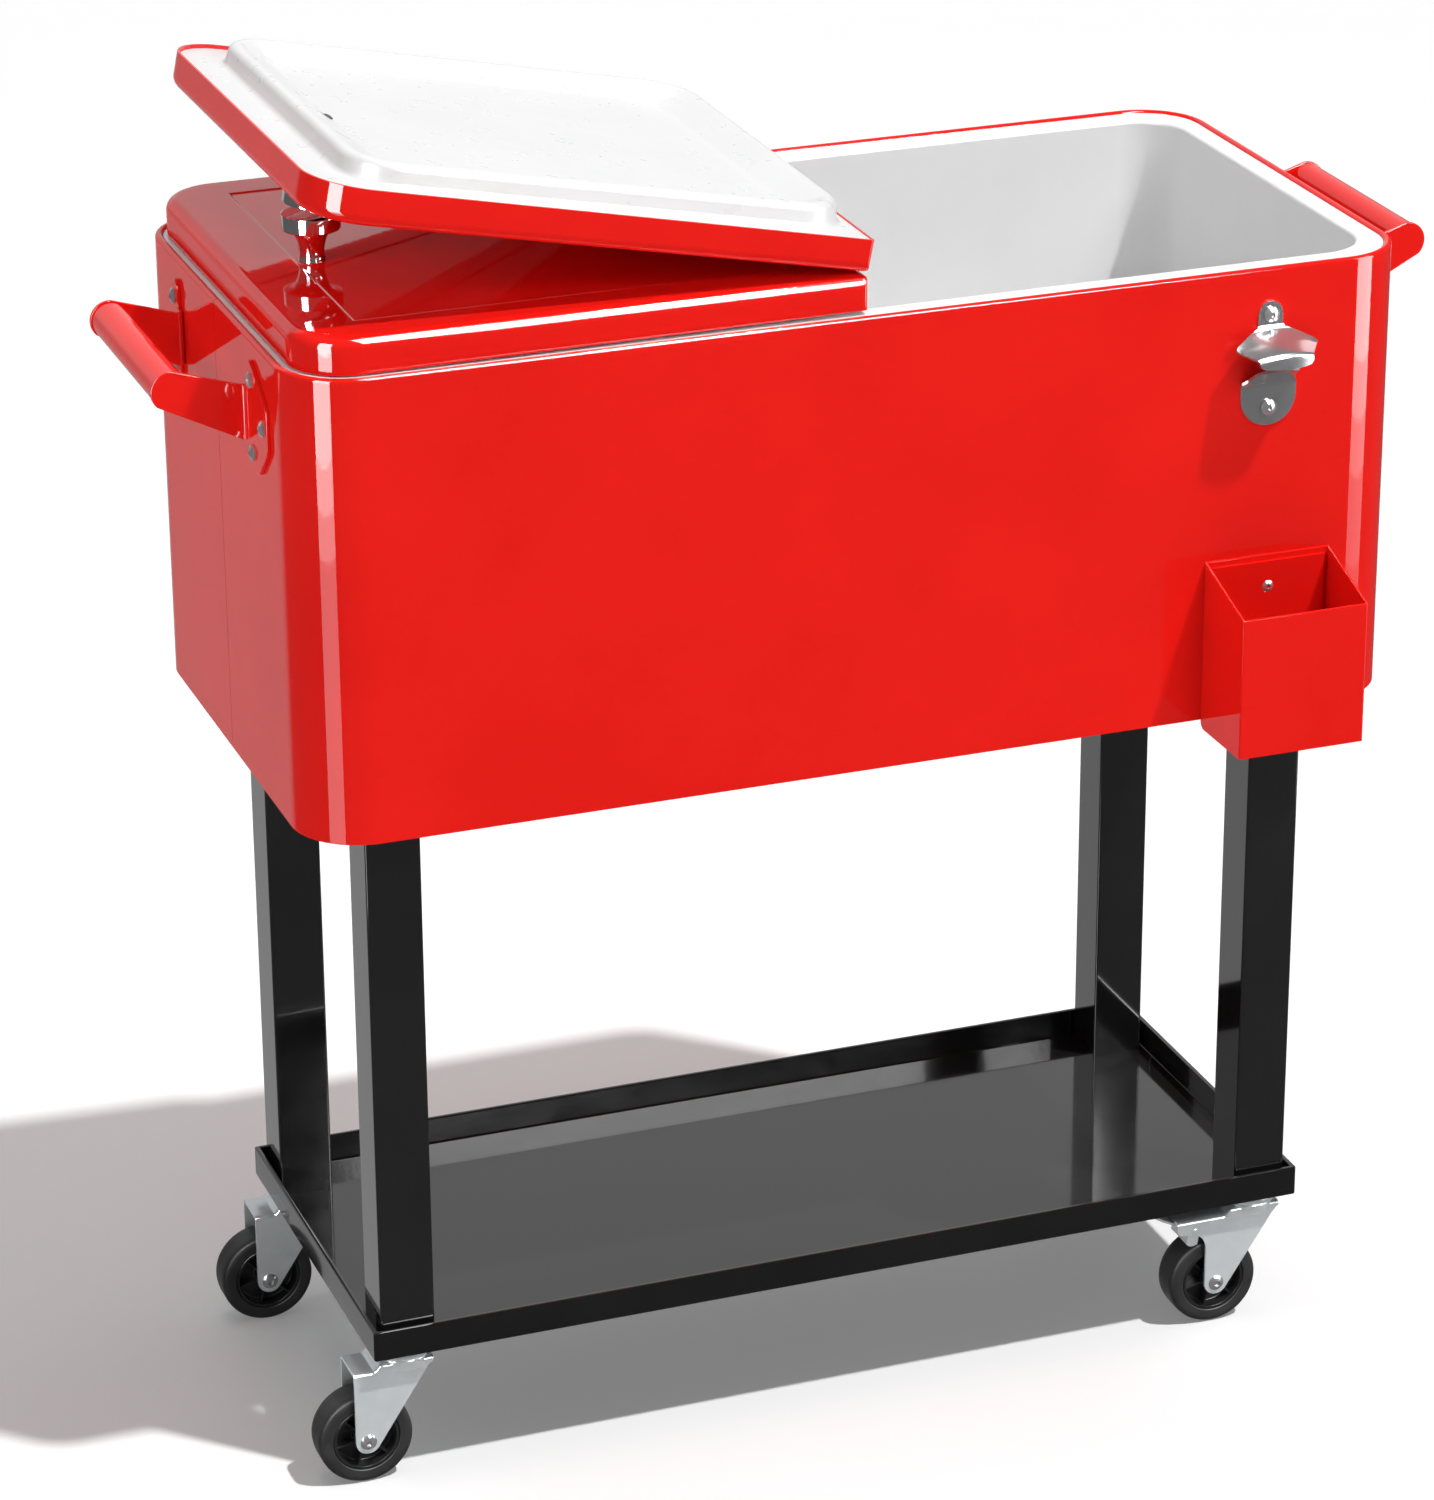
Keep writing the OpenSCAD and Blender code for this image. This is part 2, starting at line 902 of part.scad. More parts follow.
// Cross-section of the catcher, out from the tub's front and up from its bottom edge
module catcher_section(t)
{
    r = 5 - t;
    difference() {
        polygon([
            [t, catcher_top - catcher_h + t], [catcher_d - t, catcher_top - catcher_h + t],
            [catcher_d - t, catcher_top - catcher_slope], [t, catcher_top]
        ]);
        translate([t, catcher_top - catcher_h + t])
            difference() {
                square([r, r]);
                translate([r, r])
                    circle(r = r);
            }
    }
}

module cap_catcher()
{
    color(red)
        placed()
            translate([catcher_x - catcher_w / 2, -tub_w / 2, tub_z])
                difference() {
                    rotate([90, 0, 90])
                        mirror([1, 0, 0])
                            linear_extrude(catcher_w)
                                catcher_section(0);
                    translate([catcher_t, 0, 0])
                        rotate([90, 0, 90])
                            mirror([1, 0, 0])
                                linear_extrude(catcher_w - 2 * catcher_t)
                                    union() {
                                        catcher_section(catcher_t);
                                        translate([catcher_t, catcher_top - catcher_slope - 1])
                                            square([catcher_d - 2 * catcher_t, 60]);
                                    }
                    translate([catcher_w / 2, 0, catcher_screw_z])
                        rotate([90, 0, 0])
                            cylinder(r = bolt_r, h = 8, center = true);
                }
}

module catcher_screw()
{
    color(zinc)
        placed()
            front_bolt_places(catcher_places()) {
                translate([0, 0, catcher_t])
                    button_bolt(bolt_r - 0.1, 4.6, 2.8, catcher_t + sheet_t + 6, hex_r);
                translate([0, 0, -sheet_t - 4])
                    hex_nut(5, 4, bolt_r - 0.05);
            }
}

// ---------------------------------------------------------------- stand

module leg(sx, sy)
{
    low = tray_z + tray_t - foot_seat;
    color(black)
        placed()
            translate([sx * leg_x, sy * leg_y, low])
                difference() {
                    translate([-leg_w / 2, -leg_w / 2, 0])
                        cube([leg_w, leg_w, leg_top_z - low]);
                    translate([-leg_w / 2 + tube_t, -leg_w / 2 + tube_t, -eps])
                        cube([leg_w - 2 * tube_t, leg_w - 2 * tube_t, leg_top_z - low + 1]);
                }
}

module leg_front_left() { leg(-1, -1); }
module leg_front_right() { leg(1, -1); }
module leg_back_left() { leg(-1, 1); }
module leg_back_right() { leg(1, 1); }

// Two bolts on each leg's top plate, one on each side of the tube
module leg_bolt_places()
{
    for (c = corners, s = [-1, 1])
        translate([c[0] * leg_x + s * leg_bolt_off, c[1] * leg_y, tub_z + floor_rise])
            children();
}

module leg_plates()
{
    color(black)
        placed()
            difference() {
                for (c = corners)
                    translate([c[0] * leg_x - leg_plate_w / 2, c[1] * leg_y - leg_w / 2, leg_top_z])
                        cube([leg_plate_w, leg_w, leg_plate_t]);
                leg_bolt_places()
                    cylinder(r = 3.1, h = 40, center = true);
            }
}

module leg_bolts()
{
    color(zinc)
        placed()
            leg_bolt_places() {
                translate([0, 0, -leg_plate_t])
                    rotate([180, 0, 0])
                        button_bolt(3, 5.5, 3, leg_plate_t + floor_t + 8, 2);
                translate([0, 0, floor_t])
                    hex_nut(6, 5, 3.05);
            }
}

module leg_inserts()
{
    side = leg_w - 2 * tube_t - 0.2;
    color(steel)
        placed()
            for (c = corners)
                translate([c[0] * leg_x, c[1] * leg_y, tray_z + tray_t - foot_seat])
                    difference() {
                        translate([-side / 2, -side / 2, 0])
                            cube([side, side, insert_h]);
                        translate([0, 0, -eps])
                            cylinder(r = kingpin_r + 0.05, h = insert_h + 1);
                    }
}

module tray_shelf()
{
    corner_r = 2;
    foot = leg_w + 2 * foot_play;
    color(black)
        placed()
            difference() {
                translate([0, 0, tray_z])
                    linear_extrude(lip_h)
                        plan(tray_l, tray_w, corner_r);
                translate([-tray_l / 2 + lip_t, -tray_w / 2 + lip_t, tray_z + tray_t])
                    cube([tray_l - 2 * lip_t, tray_w - 2 * lip_t, lip_h]);
                for (c = corners)
                    translate([c[0] * leg_x, c[1] * leg_y, tray_z - 1]) {
                        cylinder(r = kingpin_r + 0.1, h = 5);
                        // shallow seat for the leg's foot
                        translate([-foot / 2, -foot / 2, 1 + tray_t - foot_seat])
                            cube([foot, foot, tray_t]);
                    }
            }
}

// ---------------------------------------------------------------- casters

// Puts a caster under a corner of the tray, wheel trailing towards -X
module at_caster(sx, sy)
{
    placed()
        translate([sx * leg_x, sy * leg_y, tray_z])
            children();
}

module kingpin()
{
    head_z = fork_top - fork_t - 3.3;
    // raceway cap
    rotate_extrude()
        polygon([
            [0, 0], [race_r - 4, 0], [race_r - 1, -1.5], [race_r, -4], [race_r, -6.3],
            [race_r - 1.2, -6.3], [race_r - 1.6, -4], [ball_ring_r + 3, -3.2],
            [ball_ring_r - 3, -3.2], [8, -5], [0, -5]
        ]);
    // pin up into the leg and down through the fork, with its riveted head
    translate([0, 0, head_z])
        cylinder(r = kingpin_r, h = tray_t + insert_h - 2 - head_z);
    translate([0, 0, head_z])
        cylinder(r = 9, h = 3);
}

module caster_kingpins()
{
    color(zinc)
        for (c = corners)
            at_caster(c[0], c[1])
                kingpin();
}

module swivel_balls()
{
    color(steel)
        for (c = corners)
            at_caster(c[0], c[1])
                for (i = [0 : balls - 1])
                    rotate([0, 0, i * 360 / balls])
                        translate([ball_ring_r, 0, ball_z])
                            sphere(r = ball_r);
}

// Points of an arc from angle a to angle b
function arc(c, r, a, b) = [for (i = [0 : 12]) c + r * [cos(a + (b - a) * i / 12), sin(a + (b - a) * i / 12)]];

// Direction from c in which a line from p touches the circle about c
function touch_angle(p, c, r) = atan2(p[1] - c[1], p[0] - c[0]) - acos(r / norm(p - c));

// The fork's top steps down behind the race: heights along X
step_from = -18;
step_to = -24;
fork_low = fork_top - 4.5;
lobe = 22;

// Side of a fork: the cheek under the plate, tapering to the axle
module cheek_outline(brake)
{
    axle = [-trail, axle_z];
    left = -trail - cheek_r;
    nose = [race_r - 4.5, fork_top - 5];
    lobe_r = 14;
    polygon(concat(
        [[race_r - 3, fork_top], nose],
        arc(axle, cheek_r, touch_angle(nose, axle, cheek_r), -180),
        brake
            ? concat(arc([left - lobe_r, fork_low - 9 - lobe_r], lobe_r, 0, 90),
                     arc([left - lobe + 5, fork_low - 4], 5, -90, -180),
                     [[left - lobe, fork_low]])
            : [[left, fork_low]],
        [[step_to, fork_low], [step_from, fork_top]]
    ));
}

module fork(brake)
{
    out = cheek_gap / 2 + fork_t;
    reach = trail + cheek_r + (brake ? lobe : 0);
    difference() {
        union() {
            // top plate, stepping down behind the race
            translate([0, out - 1, 0])
                rotate([90, 0, 0])
                    linear_extrude(2 * out - 2)
                        polygon([
                            [0, fork_top], [step_from, fork_top], [step_to, fork_low],
                            [-reach, fork_low], [-reach, fork_low - fork_t],
                            [step_to + 0.8, fork_low - fork_t], [step_from + 0.8, fork_top - fork_t],
                            [0, fork_top - fork_t]
                        ]);
            // race with its skirt
            translate([0, 0, fork_top - fork_t])
                cylinder(r = race_r - 1.5, h = fork_t);
            difference() {
                translate([0, 0, fork_low])
                    cylinder(r = race_r - 1.5, h = fork_top - fork_low - 0.5);
                translate([0, 0, fork_low - 1])
                    cylinder(r = race_r - 3.5, h = fork_top - fork_low + 2);
            }
            translate([0, 0, fork_top - 1])
                cylinder(r = race_r - 3, h = 3.3);
            for (s = [0, 1])
                mirror([0, s, 0])
                    translate([0, -out + fork_t, 0])
                        rotate([90, 0, 0])
                            linear_extrude(fork_t)
                                cheek_outline(brake);
        }
        cylinder(r = kingpin_r + swivel_fit, h = 60, center = true);
        translate([0, 0, ball_z - ball_r - 0.1])
            difference() {
                cylinder(r = ball_ring_r + 1.9, h = 4);
                translate([0, 0, -1])
                    cylinder(r = ball_ring_r - 1.9, h = 6);
            }
        translate([-trail, 0, axle_z])
            rotate([90, 0, 0])
                cylinder(r = axle_r + axle_fit, h = 60, center = true);
        if (brake)
            translate([brake_x, 0, brake_z])
                rotate([90, 0, 0])
                    cylinder(r = brake_pin_r + axle_fit, h = 60, center = true);
    }
}

module axle_bolt(brake)
{
    out = cheek_gap / 2 + fork_t;
    translate([-trail, -out, axle_z])
        rotate([90, 0, 0])
            button_bolt(axle_r, 5.6, 2.6, 2 * out + 6, 2.2);
    translate([-trail, out + 4.5, axle_z])
        rotate([90, 0, 0])
            hex_nut(6, 4.5, axle_r + 0.05);
}

module wheel()
{
    rim_r = hub_r - 2.5;
    boss_r = 8;
    boss_l = cheek_gap - 1;
    web_t = 4;
    translate([-trail, 0, axle_z])
        rotate([90, 0, 0])
            difference() {
                union() {
                    // tyre and rim
                    difference() {
                        translate([0, 0, -wheel_w / 2])
                            rotate_extrude()
                                polygon([
                                    [0, 0], [wheel_r - 2.5, 0], [wheel_r - 0.6, 1.8], [wheel_r, 5],
                                    [wheel_r, wheel_w - 5], [wheel_r - 0.6, wheel_w - 1.8],
                                    [wheel_r - 2.5, wheel_w], [0, wheel_w]
                                ]);
                        cylinder(r = rim_r, h = 2 * wheel_w, center = true);
                    }
                    cylinder(r = rim_r + 0.5, h = web_t, center = true);
                    cylinder(r = boss_r, h = boss_l, center = true);
                    for (a = [0 : 60 : 300])
                        rotate([0, 0, a])
                            translate([boss_r - 1, -0.9, -wheel_w / 2 + 3])
                                cube([rim_r - boss_r + 1.5, 1.8, wheel_w - 6]);
                }
                cylinder(r = axle_r + axle_fit, h = 60, center = true);
            }
}

// Pedal: a block on the pivot whose cam swings down to the tyre, and a tread to the left
module brake_pedal()
{
    block_w = cheek_gap - 2;
    tread_w = 20;
    difference() {
        union() {
            translate([brake_x, block_w / 2, brake_z])
                rotate([90, 0, 0])
                    linear_extrude(block_w) {
                        circle(r = 4);
                        polygon([[-4, 0], [-5, -11], [0, -13], [3, -12], [4, 0]]);
                    }
            translate([brake_x, tread_w / 2, brake_z])
                rotate([90, 0, 0])
                    linear_extrude(tread_w)
                        polygon([
                            [0, 4], [-13, 4], [-22, 9], [-29, 13], [-31, 12.5], [-30.5, 11],
                            [-23, 7], [-14, 1.8], [-3, -2.5]
                        ]);
        }
        translate([brake_x, 0, brake_z])
            rotate([90, 0, 0])
                cylinder(r = brake_pin_r + 0.02, h = 60, center = true);
    }
    translate([brake_x, 0, brake_z])
        rotate([90, 0, 0])
            cylinder(r = brake_pin_r, h = cheek_gap + 2 * fork_t + 1, center = true);
}

module fork_front_left() { color(zinc) at_caster(-1, -1) fork(false); }
module fork_back_left() { color(zinc) at_caster(-1, 1) fork(false); }
module fork_front_right() { color(zinc) at_caster(1, -1) fork(true); }
module fork_back_right() { color(zinc) at_caster(1, 1) fork(true); }
module axle_front_left() { color(steel) at_caster(-1, -1) axle_bolt(); }
module axle_back_left() { color(steel) at_caster(-1, 1) axle_bolt(); }
module axle_front_right() { color(steel) at_caster(1, -1) axle_bolt(); }
module axle_back_right() { color(steel) at_caster(1, 1) axle_bolt(); }
module wheel_front_left() { color(rubber_black) at_caster(-1, -1) wheel(); }
module wheel_back_left() { color(rubber_black) at_caster(-1, 1) wheel(); }
module wheel_front_right() { color(rubber_black) at_caster(1, -1) wheel(); }
module wheel_back_right() { color(rubber_black) at_caster(1, 1) wheel(); }
module brake_pedal_front() { color(zinc) at_caster(1, -1) brake_pedal(); }
module brake_pedal_back() { color(zinc) at_caster(1, 1) brake_pedal(); }

tub_shell_front();
tub_shell_back();
seam_straps();
tub_floor();
inner_liner();
insulation();
drain_fitting();
drain_gasket();
drain_nut();
drain_cap();
left_lid_skin();
left_lid_liner();
left_lid_foam();
left_knob();
left_knob_screw();
right_lid_skin();
right_lid_liner();
right_lid_foam();
right_knob();
right_knob_screw();
left_hinge_leaf();
right_hinge_leaf();
hinge_pin();
hinge_rivets_left();
hinge_rivets_right();
handle_grip_left();
handle_grip_right();
handle_arms_left();
handle_arms_right();
handle_bolts();
bottle_opener();
opener_bolts();
cap_catcher();
catcher_screw();
leg_front_left();
leg_front_right();
leg_back_left();
leg_back_right();
leg_plates();
leg_bolts();
leg_inserts();
tray_shelf();
caster_kingpins();
swivel_balls();
fork_front_left();
fork_front_right();
fork_back_left();
fork_back_right();
axle_front_left();
axle_front_right();
axle_back_left();
axle_back_right();
wheel_front_left();
wheel_front_right();
wheel_back_left();
wheel_back_right();
brake_pedal_front();
brake_pedal_back();
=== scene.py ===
import json
import math

import bmesh
import bpy
from mathutils import Matrix, Vector


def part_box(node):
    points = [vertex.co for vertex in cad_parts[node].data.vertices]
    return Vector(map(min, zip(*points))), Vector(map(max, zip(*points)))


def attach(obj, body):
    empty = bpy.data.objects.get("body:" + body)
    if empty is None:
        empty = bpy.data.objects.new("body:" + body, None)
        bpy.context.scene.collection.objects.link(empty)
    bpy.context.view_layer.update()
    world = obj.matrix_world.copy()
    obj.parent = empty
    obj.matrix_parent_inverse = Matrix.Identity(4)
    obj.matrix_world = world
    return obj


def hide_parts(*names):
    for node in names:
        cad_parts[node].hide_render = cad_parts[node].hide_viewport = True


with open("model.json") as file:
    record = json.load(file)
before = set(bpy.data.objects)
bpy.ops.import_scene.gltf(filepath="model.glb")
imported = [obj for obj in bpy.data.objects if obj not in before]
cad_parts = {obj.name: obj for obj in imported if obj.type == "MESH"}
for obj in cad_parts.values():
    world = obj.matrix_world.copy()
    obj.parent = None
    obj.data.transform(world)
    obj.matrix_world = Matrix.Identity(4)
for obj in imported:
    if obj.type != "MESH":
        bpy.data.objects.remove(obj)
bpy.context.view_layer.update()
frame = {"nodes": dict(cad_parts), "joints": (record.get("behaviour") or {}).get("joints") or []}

MM = 0.001
JOINTS = {j["name"]: j for j in frame["joints"]}

# ---------------------------------------------------------------- places from the frame


def joint_place(name):
    """A point on a joint's axis, in millimetres."""
    return [v / MM for v in JOINTS[name]["pos_m"]]


def span(*nodes):
    """Lowest and highest corner of some CAD nodes, in millimetres."""
    boxes = [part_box(n) for n in nodes]
    low = [min(b[0][i] for b in boxes) / MM for i in range(3)]
    high = [max(b[1][i] for b in boxes) / MM for i in range(3)]
    return low, high


TUB_LOW, TUB_HIGH = span("tub_shell_front", "tub_shell_back")
MID_Y = (TUB_LOW[1] + TUB_HIGH[1]) / 2
RIM_Z = TUB_HIGH[2]
TUB_Z = TUB_LOW[2]
TUB_X = TUB_HIGH[0]
TUB_Y = TUB_HIGH[1] - MID_Y
TUB_R = 46  # corner radius, seen from above
FRONT_Y = TUB_LOW[1]
TRAY_LOW, TRAY_HIGH = span("tray_shelf")
TRAY_Z = TRAY_LOW[2]
LID_LOW, LID_HIGH = span("left_lid_skin")
LID_FAR = -LID_LOW[0]
LID_GAP = -LID_HIGH[0]
LID_HALF = (LID_HIGH[1] - LID_LOW[1]) / 2
HINGE = joint_place("left_lid_fold")
FOLD = math.radians(max(abs(a) for a in JOINTS["right_lid_fold"]["range_deg"]))
LID_TOP = LID_HIGH[2] - HINGE[2]
LID_BOTTOM = LID_LOW[2] - HINGE[2]

# ---------------------------------------------------------------- mesh helpers

ALONG_Y = Matrix.Rotation(math.pi / 2, 4, "X")  # turns a part made about Z to lie along Y


def quarter(steps):
    """Angles of a quarter turn."""
    return [math.radians(90 * k / steps) for k in range(steps + 1)]


def rounding(steps):
    """Quarter round as pairs of how far in and how far along, both as shares of its radius."""
    return [(1 - math.sin(a), 1 - math.cos(a)) for a in quarter(steps)]


def middle(low, high):
    return [(a + b) / 2 for a, b in zip(low, high)]


def make_object(name, verts, faces, sharp=35):
    """A piece from points in millimetres, with outward normals and soft shading."""
    mesh = bpy.data.meshes.new(name)
    mesh.from_pydata([Vector(v) * MM for v in verts], [], faces)
    work = bmesh.new()
    work.from_mesh(mesh)
    bmesh.ops.remove_doubles(work, verts=work.verts, dist=1e-6)
    bmesh.ops.dissolve_degenerate(work, edges=work.edges, dist=1e-7)
    bmesh.ops.recalc_face_normals(work, faces=work.faces)
    work.to_mesh(mesh)
    work.free()
    mesh.shade_smooth()
    mesh.set_sharp_from_angle(angle=math.radians(sharp))
    obj = bpy.data.objects.new(name, mesh)
    bpy.context.scene.collection.objects.link(obj)
    return obj


def settle(obj, body, slot, *nodes, finish=None):
    """Gives a piece its finish (the slot's, unless another is named), puts it on its body and hides the CAD
    nodes that it stands for.
    """
    obj.data.materials.clear()
    obj.data.materials.append(MATERIALS[finish or slot])
    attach(obj, body)
    if nodes:
        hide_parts(*nodes)
    # Large faces keep their own normals, so that gloss on them runs straight to the rounded edges.
    flat = obj.modifiers.new("flat_faces", "WEIGHTED_NORMAL")
    flat.keep_sharp = True
    return obj


def grid_faces(rows, columns, wrap_rows=False, wrap_columns=False):
    """Quads between the points of a grid stored row by row."""
    faces = []
    for i in range(rows if wrap_rows else rows - 1):
        for j in range(columns if wrap_columns else columns - 1):
            a = i * columns + j
            b = i * columns + (j + 1) % columns
            c = (i + 1) % rows * columns + (j + 1) % columns
            d = (i + 1) % rows * columns + j
            faces.append((a, b, c, d))
    return faces


def loft(rings):
    """Closed rings joined one to the next, with flat caps on the ends."""
    count = len(rings[0])
    verts = [p for points in rings for p in points]
    faces = grid_faces(len(rings), count, wrap_columns=True)
    start = (len(rings) - 1) * count
    faces += [tuple(range(count)), tuple(range(start + count - 1, start - 1, -1))]
    return verts, faces


def double_sheet(top, under, columns):
    """Two matching grids, stored row by row, closed into one sheet along their borders."""
    rows, size = len(top) // columns, len(top)
    faces = grid_faces(rows, columns)
    faces += [tuple(size + i for i in reversed(face)) for face in faces]
    rim = list(range(columns)) + [i * columns + columns - 1 for i in range(1, rows)]
    rim += [(rows - 1) * columns + j for j in range(columns - 2, -1, -1)]
    rim += [i * columns for i in range(rows - 2, 0, -1)]
    faces += [(a, b, size + b, size + a) for a, b in zip(rim, rim[1:] + rim[:1])]
    return top + under, faces


def join_parts(*parts):
    verts, faces = [], []
    for part_verts, part_faces in parts:
        start = len(verts)
        verts += list(part_verts)
        faces += [tuple(start + i for i in face) for face in part_faces]
    return verts, faces


def move_part(part, matrix):
    verts, faces = part
    return [matrix @ Vector(p) for p in verts], faces


def ring(x0, x1, y0, y1, radius, z, steps=12):
    """Rounded rectangle. The height may differ along Y if z is a function of y."""
    radii = radius if isinstance(radius, (list, tuple)) else [radius] * 4
    corners = [(x1, y0, 1, -1, -90), (x1, y1, 1, 1, 0), (x0, y1, -1, 1, 90), (x0, y0, -1, -1, 180)]
    points = []
    for (cx, cy, sx, sy, start), r in zip(corners, radii):
        for k in range(steps + 1):
            a = math.radians(start + 90 * k / steps)
            x = cx - sx * r + r * math.cos(a)
            y = cy - sy * r + r * math.sin(a)
            points.append((x, y, z(y) if callable(z) else z))
    return points


def revolve(profile, steps=64, closed=False):
    """Profile of (radius, height) points turned about Z. A closed profile makes a ring."""
    verts = []
    for radius, height in profile:
        for k in range(steps):
            a = 2 * math.pi * k / steps
            verts.append((radius * math.cos(a), radius * math.sin(a), height))
    faces = grid_faces(len(profile), steps, wrap_rows=closed, wrap_columns=True)
    if not closed:
        start = (len(profile) - 1) * steps
        faces += [tuple(range(steps)), tuple(range(start + steps - 1, start - 1, -1))]
    return verts, faces


def arc_points(cx, cy, r, start, end, steps):
    """Arc about (cx, cy), its angles in degrees."""
    out = []
    for k in range(steps + 1):
        a = math.radians(start + (end - start) * k / steps)
        out.append((cx + r * math.cos(a), cy + r * math.sin(a)))
    return out


def extrude_outline(outline, low, high):
    """Outline of (x, z) points swept along Y."""
    count = len(outline)
    verts = [(x, low, z) for x, z in outline] + [(x, high, z) for x, z in outline]
    faces = [(i, (i + 1) % count, count + (i + 1) % count, count + i) for i in range(count)]
    faces.append(tuple(range(count)))
    faces.append(tuple(range(2 * count - 1, count - 1, -1)))
    return verts, faces


def cut(obj, part):
    """Takes a closed part away from a closed piece."""
    tool = make_object("cutter", *part)
    modifier = obj.modifiers.new("cut", "BOOLEAN")
    modifier.object = tool
    modifier.solver = "EXACT"
    graph = bpy.context.evaluated_depsgraph_get()
    obj.data = bpy.data.meshes.new_from_object(obj.evaluated_get(graph))
    obj.modifiers.clear()
    obj.data.set_sharp_from_angle(angle=math.radians(40))
    bpy.data.objects.remove(tool)


def round_edges(obj, width):
    """Rounds the edges of bent sheet."""
    weld = obj.modifiers.new("weld", "WELD")
    weld.merge_threshold = 1e-6
    bevel = obj.modifiers.new("edge", "BEVEL")
    bevel.width = width * MM
    bevel.segments = 2
    bevel.limit_method = "ANGLE"
    bevel.angle_limit = math.radians(50)
    bevel.harden_normals = False


# ---------------------------------------------------------------- materials

# Noise scales are in cycles per metre, bump distances in metres.
NOISE_LOW, NOISE_HIGH = 0.3, 0.7  # nearly all of a noise texture's values lie between these
ENAMEL_DRIFT, ENAMEL_SHEEN, ENAMEL_PEEL, ENAMEL_GRAIN = 9, 40, 210, 900
PLASTIC_DRIFT, PLASTIC_SHEEN = 14, 60
PEEL_DEPTH, GRAIN_DEPTH = 0.0002, 0.0001
NEAR_BLACK = ((0.006, 0.006, 0.006), (0.010, 0.010, 0.010))


def new_material(name):
    material = bpy.data.materials.new(name)
    material.use_nodes = True
    nodes = material.node_tree.nodes
    return material, nodes, material.node_tree.links, nodes["Principled BSDF"]


def noise(nodes, links, scale, detail=3.0, stretch=None):
    """Noise in the object's own coordinates, in metres."""
    place = nodes.new("ShaderNodeTexCoord")
    texture = nodes.new("ShaderNodeTexNoise")
    texture.inputs["Scale"].default_value = scale
    texture.inputs["Detail"].default_value = detail
    if stretch:
        mapping = nodes.new("ShaderNodeMapping")
        mapping.inputs["Scale"].default_value = stretch
        links.new(place.outputs["Object"], mapping.inputs["Vector"])
        links.new(mapping.outputs["Vector"], texture.inputs["Vector"])
    else:
        links.new(place.outputs["Object"], texture.inputs["Vector"])
    return texture.outputs["Fac"]


def ramp(nodes, links, value, low, high):
    """Colour that goes from low to high with a noise value."""
    node = nodes.new("ShaderNodeValToRGB")
    stops = ((NOISE_LOW, low), (NOISE_HIGH, high))
    for element, (position, colour) in zip(node.color_ramp.elements, stops):
        element.position = position
        element.color = (*colour, 1)
    links.new(value, node.inputs["Fac"])
    return node.outputs["Color"]


def map_range(nodes, links, value, low, high, bottom, top, kind="LINEAR"):
    """Bottom where the value is low, top where it is high, and held beyond them."""
    node = nodes.new("ShaderNodeMapRange")
    node.interpolation_type = kind
    for name, number in (("From Min", low), ("From Max", high), ("To Min", bottom), ("To Max", top)):
        node.inputs[name].default_value = number
    links.new(value, node.inputs["Value"])
    return node.outputs["Result"]


def spread(nodes, links, value, low, high):
    """A number that goes from low to high with a noise value."""
    return map_range(nodes, links, value, NOISE_LOW, NOISE_HIGH, low, high)


def bump(nodes, links, value, strength, distance):
    node = nodes.new("ShaderNodeBump")
    node.inputs["Strength"].default_value = strength
    node.inputs["Distance"].default_value = distance
    links.new(value, node.inputs["Height"])
    return node.outputs["Normal"]


def enamel(name, low, high, coat_rough, peel, specular=0.0, under=(0.4, 0.5), coat=1.0):
    """Sprayed gloss enamel: slight colour drift and a faint orange peel in the clear top."""
    material, nodes, links, shader = new_material(name)
    colour = ramp(nodes, links, noise(nodes, links, ENAMEL_DRIFT), low, high)
    links.new(colour, shader.inputs["Base Color"])
    rough = spread(nodes, links, noise(nodes, links, ENAMEL_SHEEN), *under)
    links.new(rough, shader.inputs["Roughness"])
    shader.inputs["Specular IOR Level"].default_value = specular
    shader.inputs["Coat Weight"].default_value = coat
    shader.inputs["Coat Roughness"].default_value = coat_rough
    skin = bump(nodes, links, noise(nodes, links, ENAMEL_PEEL, 2), peel, PEEL_DEPTH)
    links.new(skin, shader.inputs["Coat Normal"])
    base = bump(nodes, links, noise(nodes, links, ENAMEL_GRAIN, 2), 0.05, GRAIN_DEPTH)
    links.new(base, shader.inputs["Normal"])
    return material


def plastic(name, low, high, rough, grain, strength):
    """Moulded plastic with a grain and uneven sheen."""
    material, nodes, links, shader = new_material(name)
    colour = ramp(nodes, links, noise(nodes, links, PLASTIC_DRIFT), low, high)
    links.new(colour, shader.inputs["Base Color"])
    sheen = spread(nodes, links, noise(nodes, links, PLASTIC_SHEEN), *rough)
    links.new(sheen, shader.inputs["Roughness"])
    normal = bump(nodes, links, noise(nodes, links, grain, 1), strength, PEEL_DEPTH)
    links.new(normal, shader.inputs["Normal"])
    return material


def metal(name, low, high, rough, grain, strength, stretch=None, metallic=1.0):
    """Bare or plated metal with streaks or mottling in its sheen."""
    material, nodes, links, shader = new_material(name)
    mottle = noise(nodes, links, grain, 3, stretch)
    links.new(ramp(nodes, links, mottle, low, high), shader.inputs["Base Color"])
    links.new(spread(nodes, links, mottle, *rough), shader.inputs["Roughness"])
    links.new(bump(nodes, links, mottle, strength, GRAIN_DEPTH), shader.inputs["Normal"])
    shader.inputs["Metallic"].default_value = metallic
    return material


